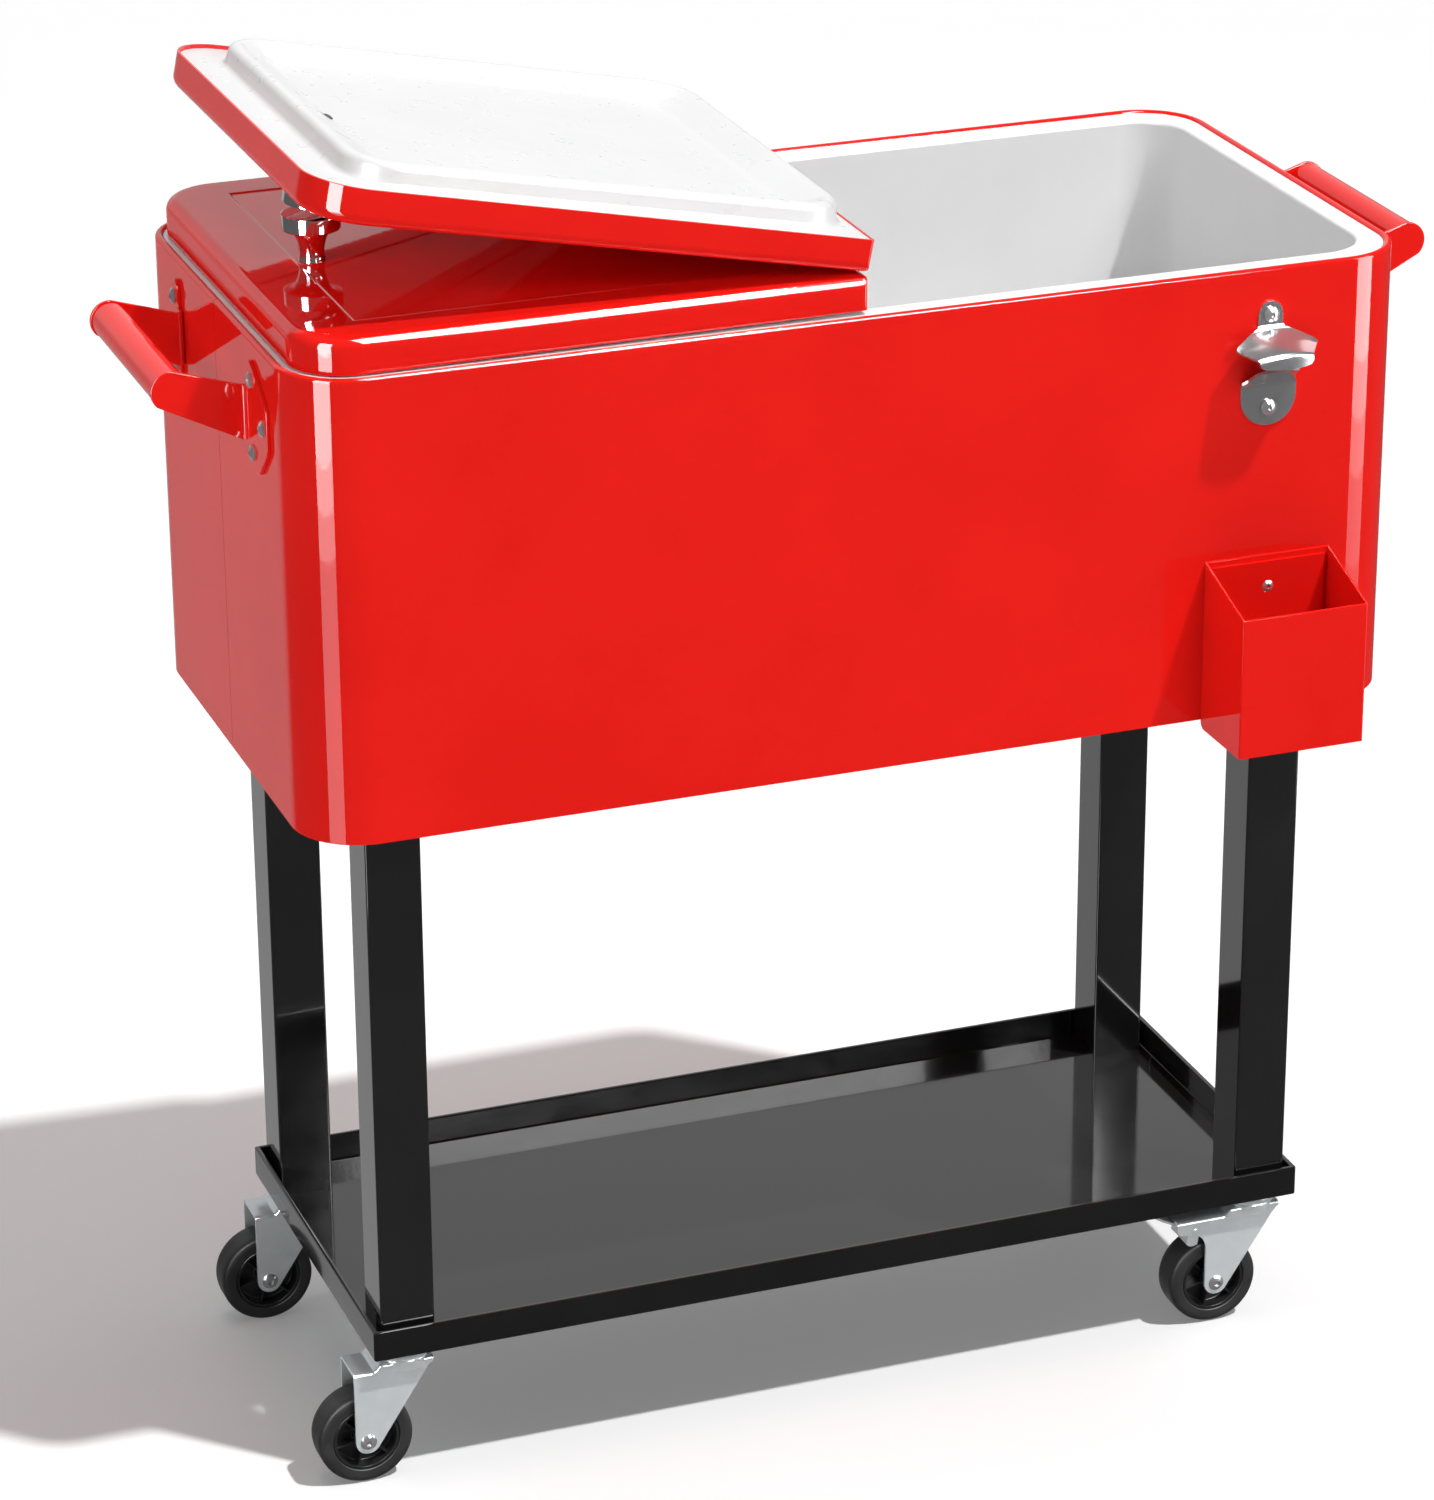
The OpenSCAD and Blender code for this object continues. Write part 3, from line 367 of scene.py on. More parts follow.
MATERIALS = {
    "black_tray": enamel("black_tray", *NEAR_BLACK, coat_rough=0.05, peel=0.04, specular=0.2,
                         under=(0.08, 0.14), coat=0.7),
    "red": enamel("red_enamel", (0.73, 0.009, 0.0058), (0.79, 0.0115, 0.0075), coat_rough=0.03, peel=0.06),
    "black": enamel("black_enamel", *NEAR_BLACK, coat_rough=0.03, peel=0.04, specular=0.8,
                    under=(0.06, 0.1)),
    "white": plastic("white_plastic", (0.655, 0.655, 0.66), (0.68, 0.68, 0.68), rough=(0.26, 0.36),
                     grain=60, strength=0.006),
    # Same white plastic as the lid liners, painted lighter here to stand in for light in the shaded basin.
    "white_basin_painted_light": plastic("white_basin_painted_light", (0.80, 0.80, 0.805), (0.83, 0.83, 0.83), rough=(0.3, 0.4),
                           grain=60, strength=0.006),
    "zinc": metal("zinc_plate", (0.70, 0.75, 0.77), (0.76, 0.81, 0.83), rough=(0.16, 0.24),
                  grain=90, strength=0.02, metallic=0.35),
    "chrome": metal("chrome_plate", (0.86, 0.86, 0.87), (0.92, 0.92, 0.93), rough=(0.03, 0.07),
                    grain=120, strength=0.01),
    "steel": metal("brushed_steel", (0.50, 0.50, 0.51), (0.54, 0.54, 0.55), rough=(0.15, 0.19),
                   grain=240, strength=0.01, stretch=(1, 1, 12), metallic=0.85),
    "bolt": metal("bolt_plate", (0.50, 0.50, 0.51), (0.58, 0.58, 0.59), rough=(0.12, 0.2),
                  grain=120, strength=0.02, metallic=0.7),
    "foam": plastic("foam", (0.62, 0.55, 0.32), (0.72, 0.64, 0.40), rough=(0.85, 0.95),
                    grain=500, strength=0.4),
    "rubber": plastic("rubber", (0.012, 0.012, 0.013), (0.020, 0.020, 0.021), rough=(0.42, 0.6),
                      grain=600, strength=0.15),
    "wheel_plastic": plastic("wheel_plastic", (0.010, 0.010, 0.011), (0.018, 0.018, 0.019),
                             rough=(0.25, 0.4), grain=500, strength=0.08),
}
BOLTS = ("handle_bolts", "opener_bolts", "catcher_screw")


def dress_cad_nodes():
    """Gives every CAD node the finished material of its slot. Bolts and axles have their own."""
    for node, obj in frame["nodes"].items():
        bolt = node in BOLTS or node.startswith("axle_")
        for place in obj.material_slots:
            name = place.material.name.split(".")[0]
            place.material = MATERIALS["bolt" if bolt else name]


# ---------------------------------------------------------------- tub

SHELL_T = 1
RIM_ROLL = 2.5
SEAM_GAP = 0.3  # from the cart's middle plane to each half of the shell
BASIN_X, BASIN_Y, BASIN_R = 355, 161, 34
BASIN_T = 2
BASIN_FILLET, BASIN_LIP = 26, 3


def shell_section():
    """Closed section of the tub's wall: (outwards, height), with the rolled rim on top."""
    hem = [(-SHELL_T, TUB_Z), (-0.3, TUB_Z), (0, TUB_Z + 0.4)]
    rim = arc_points(-RIM_ROLL, RIM_Z - RIM_ROLL, RIM_ROLL, 0, 250, 14)
    return hem + rim + [(-SHELL_T, RIM_Z - 2 * RIM_ROLL - 1)]


def shell_half(side, steps=16):
    """Half of the tub's wall, from seam to seam."""
    verts = []
    section = shell_section()
    for out, z in section:
        r = TUB_R + out
        row = [(-TUB_X - out, SEAM_GAP)]
        row += arc_points(-TUB_X + TUB_R, TUB_Y - TUB_R, r, 180, 90, steps)
        row += arc_points(TUB_X - TUB_R, TUB_Y - TUB_R, r, 90, 0, steps)
        row += [(TUB_X + out, SEAM_GAP)]
        verts += [(x, MID_Y + side * y, z) for x, y in row]
    columns = len(verts) // len(section)
    faces = grid_faces(len(section), columns, wrap_rows=True)
    faces.append(tuple(i * columns for i in range(len(section))))
    faces.append(tuple(i * columns + columns - 1 for i in reversed(range(len(section)))))
    return verts, faces


def build_tub():
    for side, name in ((-1, "front"), (1, "back")):
        obj = make_object(f"shell_{name}", *shell_half(side), sharp=50)
        settle(obj, "cart", "red", f"tub_shell_{name}")


def build_liner():
    """White basin with its flange."""
    low, high = span("inner_liner")
    edge_x, edge_y = high[0], high[1] - MID_Y
    flange_z = high[2]
    floor_z = low[2] + BASIN_T

    def flange(grow, z):
        return ring(-edge_x - grow, edge_x + grow, MID_Y - edge_y - grow, MID_Y + edge_y + grow,
                    edge_x - TUB_X + TUB_R + grow, z, 14)

    def basin(grow, z):
        return ring(-BASIN_X - grow, BASIN_X + grow, MID_Y - BASIN_Y - grow, MID_Y + BASIN_Y + grow,
                    max(BASIN_R + grow, 1), z, 14)

    rings = [basin(-BASIN_FILLET * inward, floor_z + BASIN_FILLET * up) for inward, up in rounding(10)]
    rings += [basin(BASIN_LIP * out, flange_z - BASIN_LIP * down) for down, out in rounding(5)]
    rings += [flange(-0.6, flange_z), flange(-0.1, flange_z - 0.3), flange(0, flange_z - 0.9),
              flange(-0.1, flange_z - BASIN_T), basin(BASIN_T, flange_z - BASIN_T)]
    outer = BASIN_FILLET + BASIN_T
    rings += [basin(BASIN_T - outer * inward, floor_z - BASIN_T + outer * up)
              for inward, up in reversed(rounding(10))]
    # The basin's white is painted lighter than the lid liners' to make up for the shade inside it.
    settle(make_object("basin", *loft(rings)), "cart", "white", "inner_liner", finish="white_basin_painted_light")


# ---------------------------------------------------------------- lids

ON_LEFT = Matrix.Translation(HINGE) @ Matrix.Diagonal((-1, 1, 1, 1))
ON_RIGHT = Matrix.Translation(HINGE) @ Matrix.Rotation(-FOLD, 4, "Y")
LID_R = 38  # corners at the far end, seen from above
LID_CORNER_R = 3  # corners at the hinge
LID_EDGE_R = 8  # top edge round the lid
LID_END_R = 2.5  # top edge at the hinge
LID_SAG = 2  # how much lower the skin's edge is at the far end
PANEL_MARGIN_X, PANEL_MARGIN_Y = 43, 34
RIDGE_START, RIDGE_END = 10, LID_FAR - 28
RIDGE_HALF, RIDGE_R = 156, 34


def lid_ring(inset, end_inset, z, end_z, steps=12):
    """Outline of a lid, drawn from the hinge outwards; its hinge end has its own inset and height."""
    x0, x1, y1 = LID_GAP + end_inset, LID_FAR - inset, LID_HALF - inset
    far_r = LID_R - inset
    near_r = max(LID_CORNER_R - 0.28 * inset, 0.6)
    blended = []
    for i, (x, y, height) in enumerate(ring(x0, x1, -y1, y1, [far_r, far_r, near_r, near_r], z, steps)):
        corner, k = divmod(i, steps + 1)
        share = (0, 0, k / steps, 1 - k / steps)[corner]
        blended.append((x, y, height + (end_z - height) * share))
    return blended


def panel_ring(grow, depth):
    """Outline of the pressed panel in a lid's top."""
    x0, x1, y1 = PANEL_MARGIN_X, LID_FAR - PANEL_MARGIN_X, LID_HALF - PANEL_MARGIN_Y
    return ring(x0 - grow, x1 + grow, -y1 - grow, y1 + grow, max(0.8 + grow, 0.3), LID_TOP - depth, 12)


def lid_hem(inset, rise):
    """Outline near the skin's lower edge, which comes down towards the lid's far end."""
    z = LID_BOTTOM + rise
    return [(x, y, h - LID_SAG * x / LID_FAR) for x, y, h in lid_ring(inset, inset, z, z)]


def lid_skin():
    """Red skin of a lid, from inside its lower edge up to the pressed panel."""
    rings = [lid_ring(1.6, 1.6, LID_BOTTOM + 9, LID_BOTTOM + 9), lid_hem(1.6, 0), lid_hem(0.4, 0),
             lid_hem(0.1, 0.15), lid_hem(0, 0.5)]
    rings += [lid_ring(LID_EDGE_R * inward, LID_END_R * inward, LID_TOP - LID_EDGE_R * down,
                       LID_TOP - LID_END_R * down) for down, inward in rounding(9)]
    shoulder = [(2.2, 0), (1.4, 0.03), (0.8, 0.16), (0.2, 0.5), (-0.3, 0.8), (-0.9, 0.96), (-1.6, 1)]
    rings += [panel_ring(grow, depth) for grow, depth in shoulder]
    return loft(rings)


def lid_liner():
    """White underside of a lid: flat border, raised ridge and dished middle."""

    def ridge(grow, z):
        return ring(RIDGE_START - grow, RIDGE_END + grow, -RIDGE_HALF - grow, RIDGE_HALF + grow,
                    max(RIDGE_R + grow, 1), LID_BOTTOM + z, 12)

    rings = [lid_ring(1.8, 1.8, LID_BOTTOM + 8, LID_BOTTOM + 8),
             lid_ring(1.8, 1.8, LID_BOTTOM + 0.9, LID_BOTTOM + 0.9),
             lid_ring(2.1, 2.1, LID_BOTTOM + 0.6, LID_BOTTOM + 0.6)]
    profile = [(4.4, 0.6), (2.9, 0.38), (1.5, -0.2), (0.5, -1.3), (0, -2.8), (-0.9, -9.2), (-1.6, -11.2),
               (-2.6, -12.7), (-4.1, -13.7), (-5.8, -14), (-7.4, -14), (-9.2, -13.7), (-11, -13),
               (-27.4, -5.4), (-29.6, -4.5), (-31.6, -4.08), (-33.4, -4)]
    rings += [ridge(grow, z) for grow, z in profile]
    return loft(rings)


def knob():
    """Turned knob. The profile is (radius, height above the lid's pressed panel)."""
    low, high = span("left_knob")
    rise = high[2] - low[2]
    top = (high[0] - low[0]) / 2
    profile = [(8.9, 0), (8.9, 0.5), (8.6, 1), (8.3, 2), (8.1, 3.5), (8, 5.5), (8.1, 7.5),
               (8.5, 10), (9.1, 12.5), (10, 15), (11, 17), (12.2, 18.8), (13.4, 19.9), (14.6, 20.4),
               (top - 1.2, 20.6), (top - 0.4, 20.9), (top, 21.6), (top, rise - 1.2),
               (top - 0.35, rise - 0.4), (top - 1.2, rise), (top - 5, rise)]
    x, y, _ = middle(low, high)
    place = ON_LEFT.inverted() @ Vector((x, y, low[2]))
    return move_part(revolve(profile, 72), Matrix.Translation(place))


def spot_face():
    """Round pocket in the liner's slope, where the knob's screw sits."""
    x, y, _ = middle(*span("left_knob"))
    place = ON_LEFT.inverted() @ Vector((x, y, HINGE[2]))
    place.z = LID_BOTTOM - 4
    return move_part(revolve([(5.6, -14), (5.6, 0)], 32), Matrix.Translation(place))


def build_lids():
    for side, matrix in (("left", ON_LEFT), ("right", ON_RIGHT)):
        body = side + "_lid"
        for name, part, slot in (("skin", lid_skin(), "red"), ("liner", lid_liner(), "white")):
            obj = make_object(f"{side}_{name}", *move_part(part, matrix), sharp=40)
            if name == "liner":
                cut(obj, move_part(spot_face(), matrix))
            settle(obj, body, slot, f"{side}_lid_{name}")
        obj = make_object(f"{side}_pull", *move_part(knob(), matrix), sharp=40)
        settle(obj, body, "chrome", f"{side}_knob")


# ---------------------------------------------------------------- handles

ARM_T = 2.5
ARM_BEND = 3.5  # radius of the bend between an arm and its flange
ARM_SPAN = 77  # from the middle of the handle to the outer face of an arm
ARM_STEPS = 6  # strips that the bend is cut into
GRIP_RISE = 17  # from the bolts' middle up to the grip
ARM_REACH, ARM_HEAD_R = 49, 13
ARM_TOP, ARM_LOW = 16.5, -19.5  # edges of the arm where it meets the tub
FLANGE_SHIFT = 0.75


def bent_point(s, z, t):
    """Point of an arm's middle sheet: s runs from the grip through the bend onto the tub's end."""
    bend_length = ARM_BEND * math.pi / 2
    wall = TUB_X + ARM_T / 2
    plate = ARM_SPAN - ARM_T / 2
    if s <= 0:
        x, y, nx, ny = wall + ARM_BEND - s, plate, 0, 1
    elif s < bend_length:
        a = s / ARM_BEND
        x = wall + ARM_BEND - ARM_BEND * math.sin(a)
        y = plate + ARM_BEND - ARM_BEND * math.cos(a)
        nx, ny = math.sin(a), math.cos(a)
    else:
        x, y, nx, ny = wall, plate + ARM_BEND + s - bend_length, 1, 0
    return (-(x + nx * t), -(y + ny * t), z)


def arm_outline():
    """Flat pattern of one arm: (s, height), heights from the bolts' middle."""
    grip_s = -(ARM_REACH - ARM_T / 2 - ARM_BEND)
    head = arc_points(grip_s, GRIP_RISE, ARM_HEAD_R, 83, 225, 16)
    flange = [(7, ARM_TOP + 0.5), (7.2, 29), (8.5, 33), (11, 35), (14.5, 35.2), (22, 32),
              (48, 15), (50, 12), (50, -13), (48.6, -16), (31, -33), (28, -34.8), (11, -36),
              (8.5, -34.5), (7, -31), (7, ARM_LOW - 0.5)]
    around = [(s + FLANGE_SHIFT, z) for s, z in reversed(flange)]
    return head + [(0, ARM_LOW), (3, ARM_LOW)] + around + [(3, ARM_TOP), (0, ARM_TOP)]


def arm_mesh(side):
    """One arm bent out of its flat pattern."""
    work = bmesh.new()
    corners = [work.verts.new((s, z, 0)) for s, z in arm_outline()]
    work.faces.new(corners)
    bend_length = ARM_BEND * math.pi / 2
    for k in range(ARM_STEPS + 1):
        everything = work.verts[:] + work.edges[:] + work.faces[:]
        bmesh.ops.bisect_plane(work, geom=everything, dist=1e-5,
                               plane_co=(bend_length * k / ARM_STEPS, 0, 0), plane_no=(1, 0, 0))
    bmesh.ops.remove_doubles(work, verts=work.verts, dist=1e-3)
    work.verts.index_update()
    flat = [(v.co.x, v.co.y) for v in work.verts]
    sheet = [tuple(v.index for v in f.verts) for f in work.faces]
    border = [(e.verts[0].index, e.verts[1].index) for e in work.edges if len(e.link_faces) == 1]
    work.free()
    count = len(flat)
    verts = [bent_point(s, z, t) for t in (ARM_T / 2, -ARM_T / 2) for s, z in flat]
    faces = sheet + [tuple(count + i for i in reversed(f)) for f in sheet]
    faces += [(a, b, count + b, count + a) for a, b in border]
    return [(x, y * side, z) for x, y, z in verts], faces


def build_handles():
    grip_z = middle(*span("handle_grip_left"))[2]
    bolts_z = grip_z - GRIP_RISE
    for name, sx in (("left", 1), ("right", -1)):
        matrix = Matrix.Translation((0, MID_Y, bolts_z)) @ Matrix.Diagonal((sx, 1, 1, 1))
        arms = join_parts(arm_mesh(1), arm_mesh(-1))
        obj = make_object(f"arms_{name}", *move_part(arms, matrix), sharp=40)
        round_edges(obj, 0.45)
        settle(obj, "cart", "red", f"handle_arms_{name}")
        low, high = span(f"handle_grip_{name}")
        r = (high[2] - low[2]) / 2
        half = (high[1] - low[1]) / 2
        profile = [(r - 1.5, -half), (r - 0.5, -half), (r, -half + 0.5), (r, half - 0.5),
                   (r - 0.5, half), (r - 1.5, half)]
        turn = Matrix.Translation((middle(low, high)[0], MID_Y, grip_z)) @ ALONG_Y
        tube = move_part(revolve(profile, 72, closed=True), turn)
        obj = make_object(f"grip_{name}", *tube, sharp=50)
        settle(obj, "cart", "red", f"handle_grip_{name}")


# ---------------------------------------------------------------- front fittings

OPENER_T = 1.8
CATCHER_T = 1.4
CATCHER_R = 1.2  # upright corners
CATCHER_BACK_R = 5  # bend between the back and the floor
CATCHER_SLOPE = 20  # how much lower the lip is at the front
HEM_X, HEM_DROP = 4, 4.5  # the folded flap inside the back: from the sides and from the lip


def bent_path(points, radii, steps=6):
    """A path of (out, up) points whose corners are rounded."""
    path = [Vector(points[0])]
    for i in range(1, len(points) - 1):
        before, here, after = Vector(points[i - 1]), Vector(points[i]), Vector(points[i + 1])
        a, b = (before - here).normalized(), (after - here).normalized()
        angle = a.angle(b)
        trim = radii[i - 1] / math.tan(angle / 2)
        start, end = here + a * trim, here + b * trim
        for k in range(steps + 1):
            t = k / steps
            path.append((start * (1 - t) + here * t) * (1 - t) + (here * (1 - t) + end * t) * t)
    path.append(Vector(points[-1]))
    return path


def resample(path, count):
    """Evenly spaced points of a path, each with its distance along it."""
    lengths = [0]
    for a, b in zip(path, path[1:]):
        lengths.append(lengths[-1] + (b - a).length)
    out = []
    for k in range(count):
        target = lengths[-1] * k / (count - 1)
        i = max(j for j in range(len(path) - 1) if lengths[j] <= target + 1e-9)
        gap = lengths[i + 1] - lengths[i]
        out.append((path[i].lerp(path[i + 1], (target - lengths[i]) / gap if gap else 0), target))
    return out


def path_length(path):
    return resample(path, 2)[-1][1]


def along(samples, i):
    """Direction of a resampled path at one of its points."""
    ahead = samples[min(i + 1, len(samples) - 1)][0] - samples[max(i - 1, 0)][0]
    return ahead.normalized()


def table(value, pairs):
    """Straight-line reading of a table of (input, output) pairs."""
    if value <= pairs[0][0]:
        return pairs[0][1]
    for (a, fa), (b, fb) in zip(pairs, pairs[1:]):
        if value <= b:
            return fa + (fb - fa) * (value - a) / (b - a)
    return pairs[-1][1]


def pressed_strip(path, widths, arch, thickness, rows=44, columns=20):
    """A pressed sheet along a path of (out, up), as wide as the table says, arched down at its sides."""
    samples = resample(path, rows)
    layers = []
    for side in (0.5, -0.5):
        verts = []
        for i, (p, s) in enumerate(samples):
            ahead = along(samples, i)
            normal = Vector((-ahead.y, ahead.x))
            half = table(s, widths)
            drop_out, drop_up = table(s, arch)
            for j in range(columns + 1):
                u = -1 + 2 * j / columns
                fall = (half * u) ** 2
                point = p + normal * thickness * side
                verts.append((half * u, -(point.x - drop_out * fall), point.y - drop_up * fall))
        layers.append(verts)
    return double_sheet(*layers, columns + 1)


class Pair(tuple):
    """Two numbers that can be mixed."""

    def __add__(self, other):
        return Pair(a + b for a, b in zip(self, other))

    def __sub__(self, other):
        return Pair(a - b for a, b in zip(self, other))

    def __mul__(self, k):
        return Pair(a * k for a in self)

    def __truediv__(self, k):
        return Pair(a / k for a in self)


def build_opener():
    """Bottle opener: a bowed hood and a flat plate, pressed in one strip. Widths are half widths."""
    low, high = span("bottle_opener")
    sheet = OPENER_T
    mid = sheet / 2 + 0.1
    hood_path = bent_path([(mid, 0), (mid, -18), (27.5, -28.5), (29, -37.5)], [7, 3.2], 8)
    length = path_length(hood_path)
    head = [(0.0, 2.0), (0.6, 3.9), (1.4, 5.1), (2.8, 6.4), (4.6, 7.5), (6.6, 8.2), (8.5, 8.5),
            (15.5, 8.5), (17.5, 9.6), (20, 13.5), (28.5, 28.2), (29.6, 28.6), (30.6, 28.2),
            (length - 9, 19), (length - 6, 18.6), (length - 3.5, 16.5), (length - 1.8, 12.5),
            (length - 0.6, 7), (length, 2)]
    flat, bowed = Pair((0.0, 0.0)), Pair((0.002, 0.0062))
    hood_arch = [(0, flat), (17, flat), (24, Pair((0.0, 0.004))), (32, bowed),
                 (length, Pair((0.004, 0.008)))]
    hood = pressed_strip(hood_path, head, hood_arch, sheet)
    plate_path = bent_path([(16, -42), (mid, -54.5), (mid, -83.4)], [5], 8)
    run = path_length(plate_path)
    body = [(0, 14.5), (8, 15), (14, 16.5), (19.5, 19.5), (run - 19.5, 19.5), (run - 14, 18.7),
            (run - 9, 16.5), (run - 5, 13.1), (run - 2.4, 9.4), (run - 0.9, 5.9), (run, 2)]
    plate = pressed_strip(plate_path, body, [(0, Pair((0.0, 0.004))), (8, flat), (run, flat)], sheet)
    matrix = Matrix.Translation((middle(low, high)[0], FRONT_Y, high[2]))
    obj = make_object("opener", *move_part(join_parts(hood, plate), matrix), sharp=50)
    round_edges(obj, 0.5)
    settle(obj, "cart", "steel", "bottle_opener")


def build_catcher():
    """Folded open box that hangs on the tub's front."""
    low, high = span("cap_catcher")
    x0, x1, y0, y1, z0 = low[0], high[0], low[1], high[1], low[2]
    sheet, r = CATCHER_T, CATCHER_R

    def lip(drop):
        return lambda y: high[2] - CATCHER_SLOPE * (y1 - y) / (y1 - y0) - drop

    rings = [ring(x0, x1, y0, y1 - CATCHER_BACK_R * inward, r, z0 + CATCHER_BACK_R * up, 4)
             for inward, up in rounding(5)]
    for grow, drop in ((0, 0.35), (-0.12, 0.1), (-0.4, 0), (-sheet + 0.4, 0), (-sheet + 0.12, 0.1),
                       (-sheet, 0.35)):
        rings.append(ring(x0 - grow, x1 + grow, y0 - grow, y1 + grow, max(r + grow, 0.3), lip(drop), 4))
    rings.append(ring(x0 + sheet, x1 - sheet, y0 + sheet, y1 - sheet, 0.3, z0 + sheet, 4))
    plate = [ring(x0 + HEM_X, x1 - HEM_X, y1 - 2 * sheet - 0.2, y1 - sheet + 0.2, 0.3, z, 3)
             for z in (z0 + sheet, high[2] - HEM_DROP)]
    parts = join_parts(loft(rings), loft(plate))
    settle(make_object("catcher", *parts, sharp=35), "cart", "red", "cap_catcher")


# ---------------------------------------------------------------- stand


CORNERS = ("front_left", "front_right", "back_left", "back_right")
LEG_EDGE_R = 1.6
TRAY_LIP, TRAY_FLOOR = 3.5, 1.5  # thicknesses
TRAY_R = 2


def build_stand():
    """Four legs and the tray shelf. The tray's section is (outwards, height)."""
    for corner in CORNERS:
        low, high = span(f"leg_{corner}")
        rings = [ring(low[0], high[0], low[1], high[1], LEG_EDGE_R, z, 5) for z in (low[2], high[2])]
        obj = make_object(f"{corner}_post", *loft(rings), sharp=50)
        settle(obj, "cart", "black", f"leg_{corner}")
    x, y0, y1, z0, z1 = TRAY_HIGH[0], TRAY_LOW[1], TRAY_HIGH[1], TRAY_Z, TRAY_HIGH[2]
    lip, floor, r = TRAY_LIP, TRAY_FLOOR, TRAY_R
    outer = [(-0.8, z0), (-0.25, z0 + 0.2), (0, z0 + 0.8), (0, z1 - 0.9), (-0.25, z1 - 0.25), (-0.9, z1),
             (-lip + 0.9, z1), (-lip + 0.25, z1 - 0.25), (-lip, z1 - 0.9), (-lip, z0 + floor + 1.2),
             (-lip - 0.35, z0 + floor + 0.35), (-lip - 1.2, z0 + floor)]
    rings = [ring(-x - g, x + g, y0 - g, y1 + g, max(r + g, 0.5), z, 5) for g, z in outer]
    obj = make_object("tray", *loft(rings), sharp=40)
    settle(obj, "cart", "black", "tray_shelf", finish="black_tray")


# ---------------------------------------------------------------- casters

# Heights in a caster are from the tray's underside, lengths from the swivel's axis.
CHEEK_OUT = 16  # half the fork's width
CHEEK_R = 8.5  # round the axle
FORK_T = 2
FORK_TOP, FORK_LOW = -8.5, -13  # over the race, and behind it
FORK_FRONT = 17.5
FORK_BEND = 3
TRAIL = 29  # from the swivel's axis back to the axle
LOBE = 22  # how far a brake fork's lobe stands out behind the cheek
LOBE_R, LOBE_HOLLOW = 5, 13  # the lobe's corner, and the hollow between it and the cheek
LOBE_DROP = 23  # from the fork's top behind the race down to the foot of that hollow
WHEEL_HALF = 12
TREAD_T, TREAD_DISH = 1.6, 1.4
TREAD_ROWS, TREAD_COLUMNS = 26, 13


def fork_height(x):
    """Height of the fork's top: it steps down behind the race."""
    t = min(max((x + 24) / 6, 0), 1)
    return FORK_LOW + (FORK_TOP - FORK_LOW) * t * t * (3 - 2 * t)


def cheek_edge(axle_z, brake):
    """Lower edge of a cheek, left to right: the part under the lobe, then the part round the axle."""
    left = -TRAIL - CHEEK_R
    nose = (14.5, FORK_TOP - 5)
    gap = math.dist(nose, (-TRAIL, axle_z))
    touch = math.degrees(math.atan2(nose[1] - axle_z, nose[0] + TRAIL) - math.acos(CHEEK_R / gap))
    first, side_top = [], FORK_LOW - 3
    if brake:
        first = arc_points(left - LOBE + LOBE_R, FORK_LOW - LOBE_R, LOBE_R, 180, 270, 8)
        first += arc_points(left - LOBE_HOLLOW, FORK_LOW - LOBE_DROP, LOBE_HOLLOW, 90, 0, 12)
        side_top = FORK_LOW - LOBE_DROP
    second = [(left, side_top + (axle_z - side_top) * k / 10) for k in range(11)]
    second += arc_points(-TRAIL, axle_z, CHEEK_R, 180, 360 + touch, 20)[1:]
    last = second[-1]
    second += [(last[0] + (nose[0] - last[0]) * k / 16, last[1] + (nose[1] - last[1]) * k / 16)
               for k in range(1, 17)]
    return first, second


def fork_part(axle_z, brake):
    """Folded fork: a flat top with rounded folds down into two cheeks."""
    first, second = cheek_edge(axle_z, brake)
    count = len(second)
    start, end = second[0][0], FORK_FRONT
    tops = [p[0] for p in first] + [start + (end - start) * k / (count - 1) for k in range(count)]
    edge = first + second
    layers = []
    for inner in (0, FORK_T):
        out, bend = CHEEK_OUT - inner, FORK_BEND - inner
        verts = []
        for x, (bx, bz) in zip(tops, edge):
            h = fork_height(x) - inner
            half = [(x, 0, h)]
            half += [(x, out - bend + bend * math.sin(a), h - bend + bend * math.cos(a))
                     for a in quarter(6)]
            low = min(bz, h - bend - 0.2)
            half += [(x + (bx - x) * t, out, h - bend + (low - h + bend) * t) for t in (0.35, 0.7, 1)]
            verts += [(px, -py, pz) for px, py, pz in reversed(half[1:])] + half
        layers.append(verts)
    return double_sheet(*layers, len(layers[0]) // len(tops))


def race_part():
    """Lower race on the fork: a pressed ring with a rounded skirt."""
    profile = [(5.1, FORK_TOP), (10.6, FORK_TOP), (11.4, -6.9), (17.2, -6.7), (18.2, -7.3),
               (18.9, -8.8), (19.1, -11), (19, -14.5), (18.2, -15.4), (17.4, -14.5), (17.3, -10.6),
               (5.1, -10.6)]
    return revolve(profile, 64, closed=True)


def cap_part():
    """Upper race cap with the kingpin through it."""
    profile = [(0.5, 13), (5, 13), (5, 0), (15.6, 0), (17.6, -0.5), (19.2, -1.6), (20.2, -3.2), (20.5, -4.8),
               (20.4, -5.7), (19.9, -6.2), (19.3, -6.2), (18.9, -5.6), (18.3, -4.6), (16.4, -3.3),
               (9.6, -3.3), (8, -4.9), (5, -5), (5, -10.9), (8.4, -10.9), (9, -11.5), (8.6, -13.2),
               (6.8, -13.8), (0.5, -13.8)]
    return revolve(profile, 64)


def tyre_part(r, half):
    """Tyre with rounded shoulders, about Z."""
    side = [(23, -half + 1), (23.2, -half + 0.4), (23.8, -half), (28.4, -half), (28.8, -half + 0.25),
            (30.4, -half + 0.4), (31.5, -half + 1.1), (32.1, -half + 2.2), (r - 0.15, -half + 4),
            (r, -half + 6)]
    return revolve(side + [(a, -b) for a, b in reversed(side)], 96, closed=True)


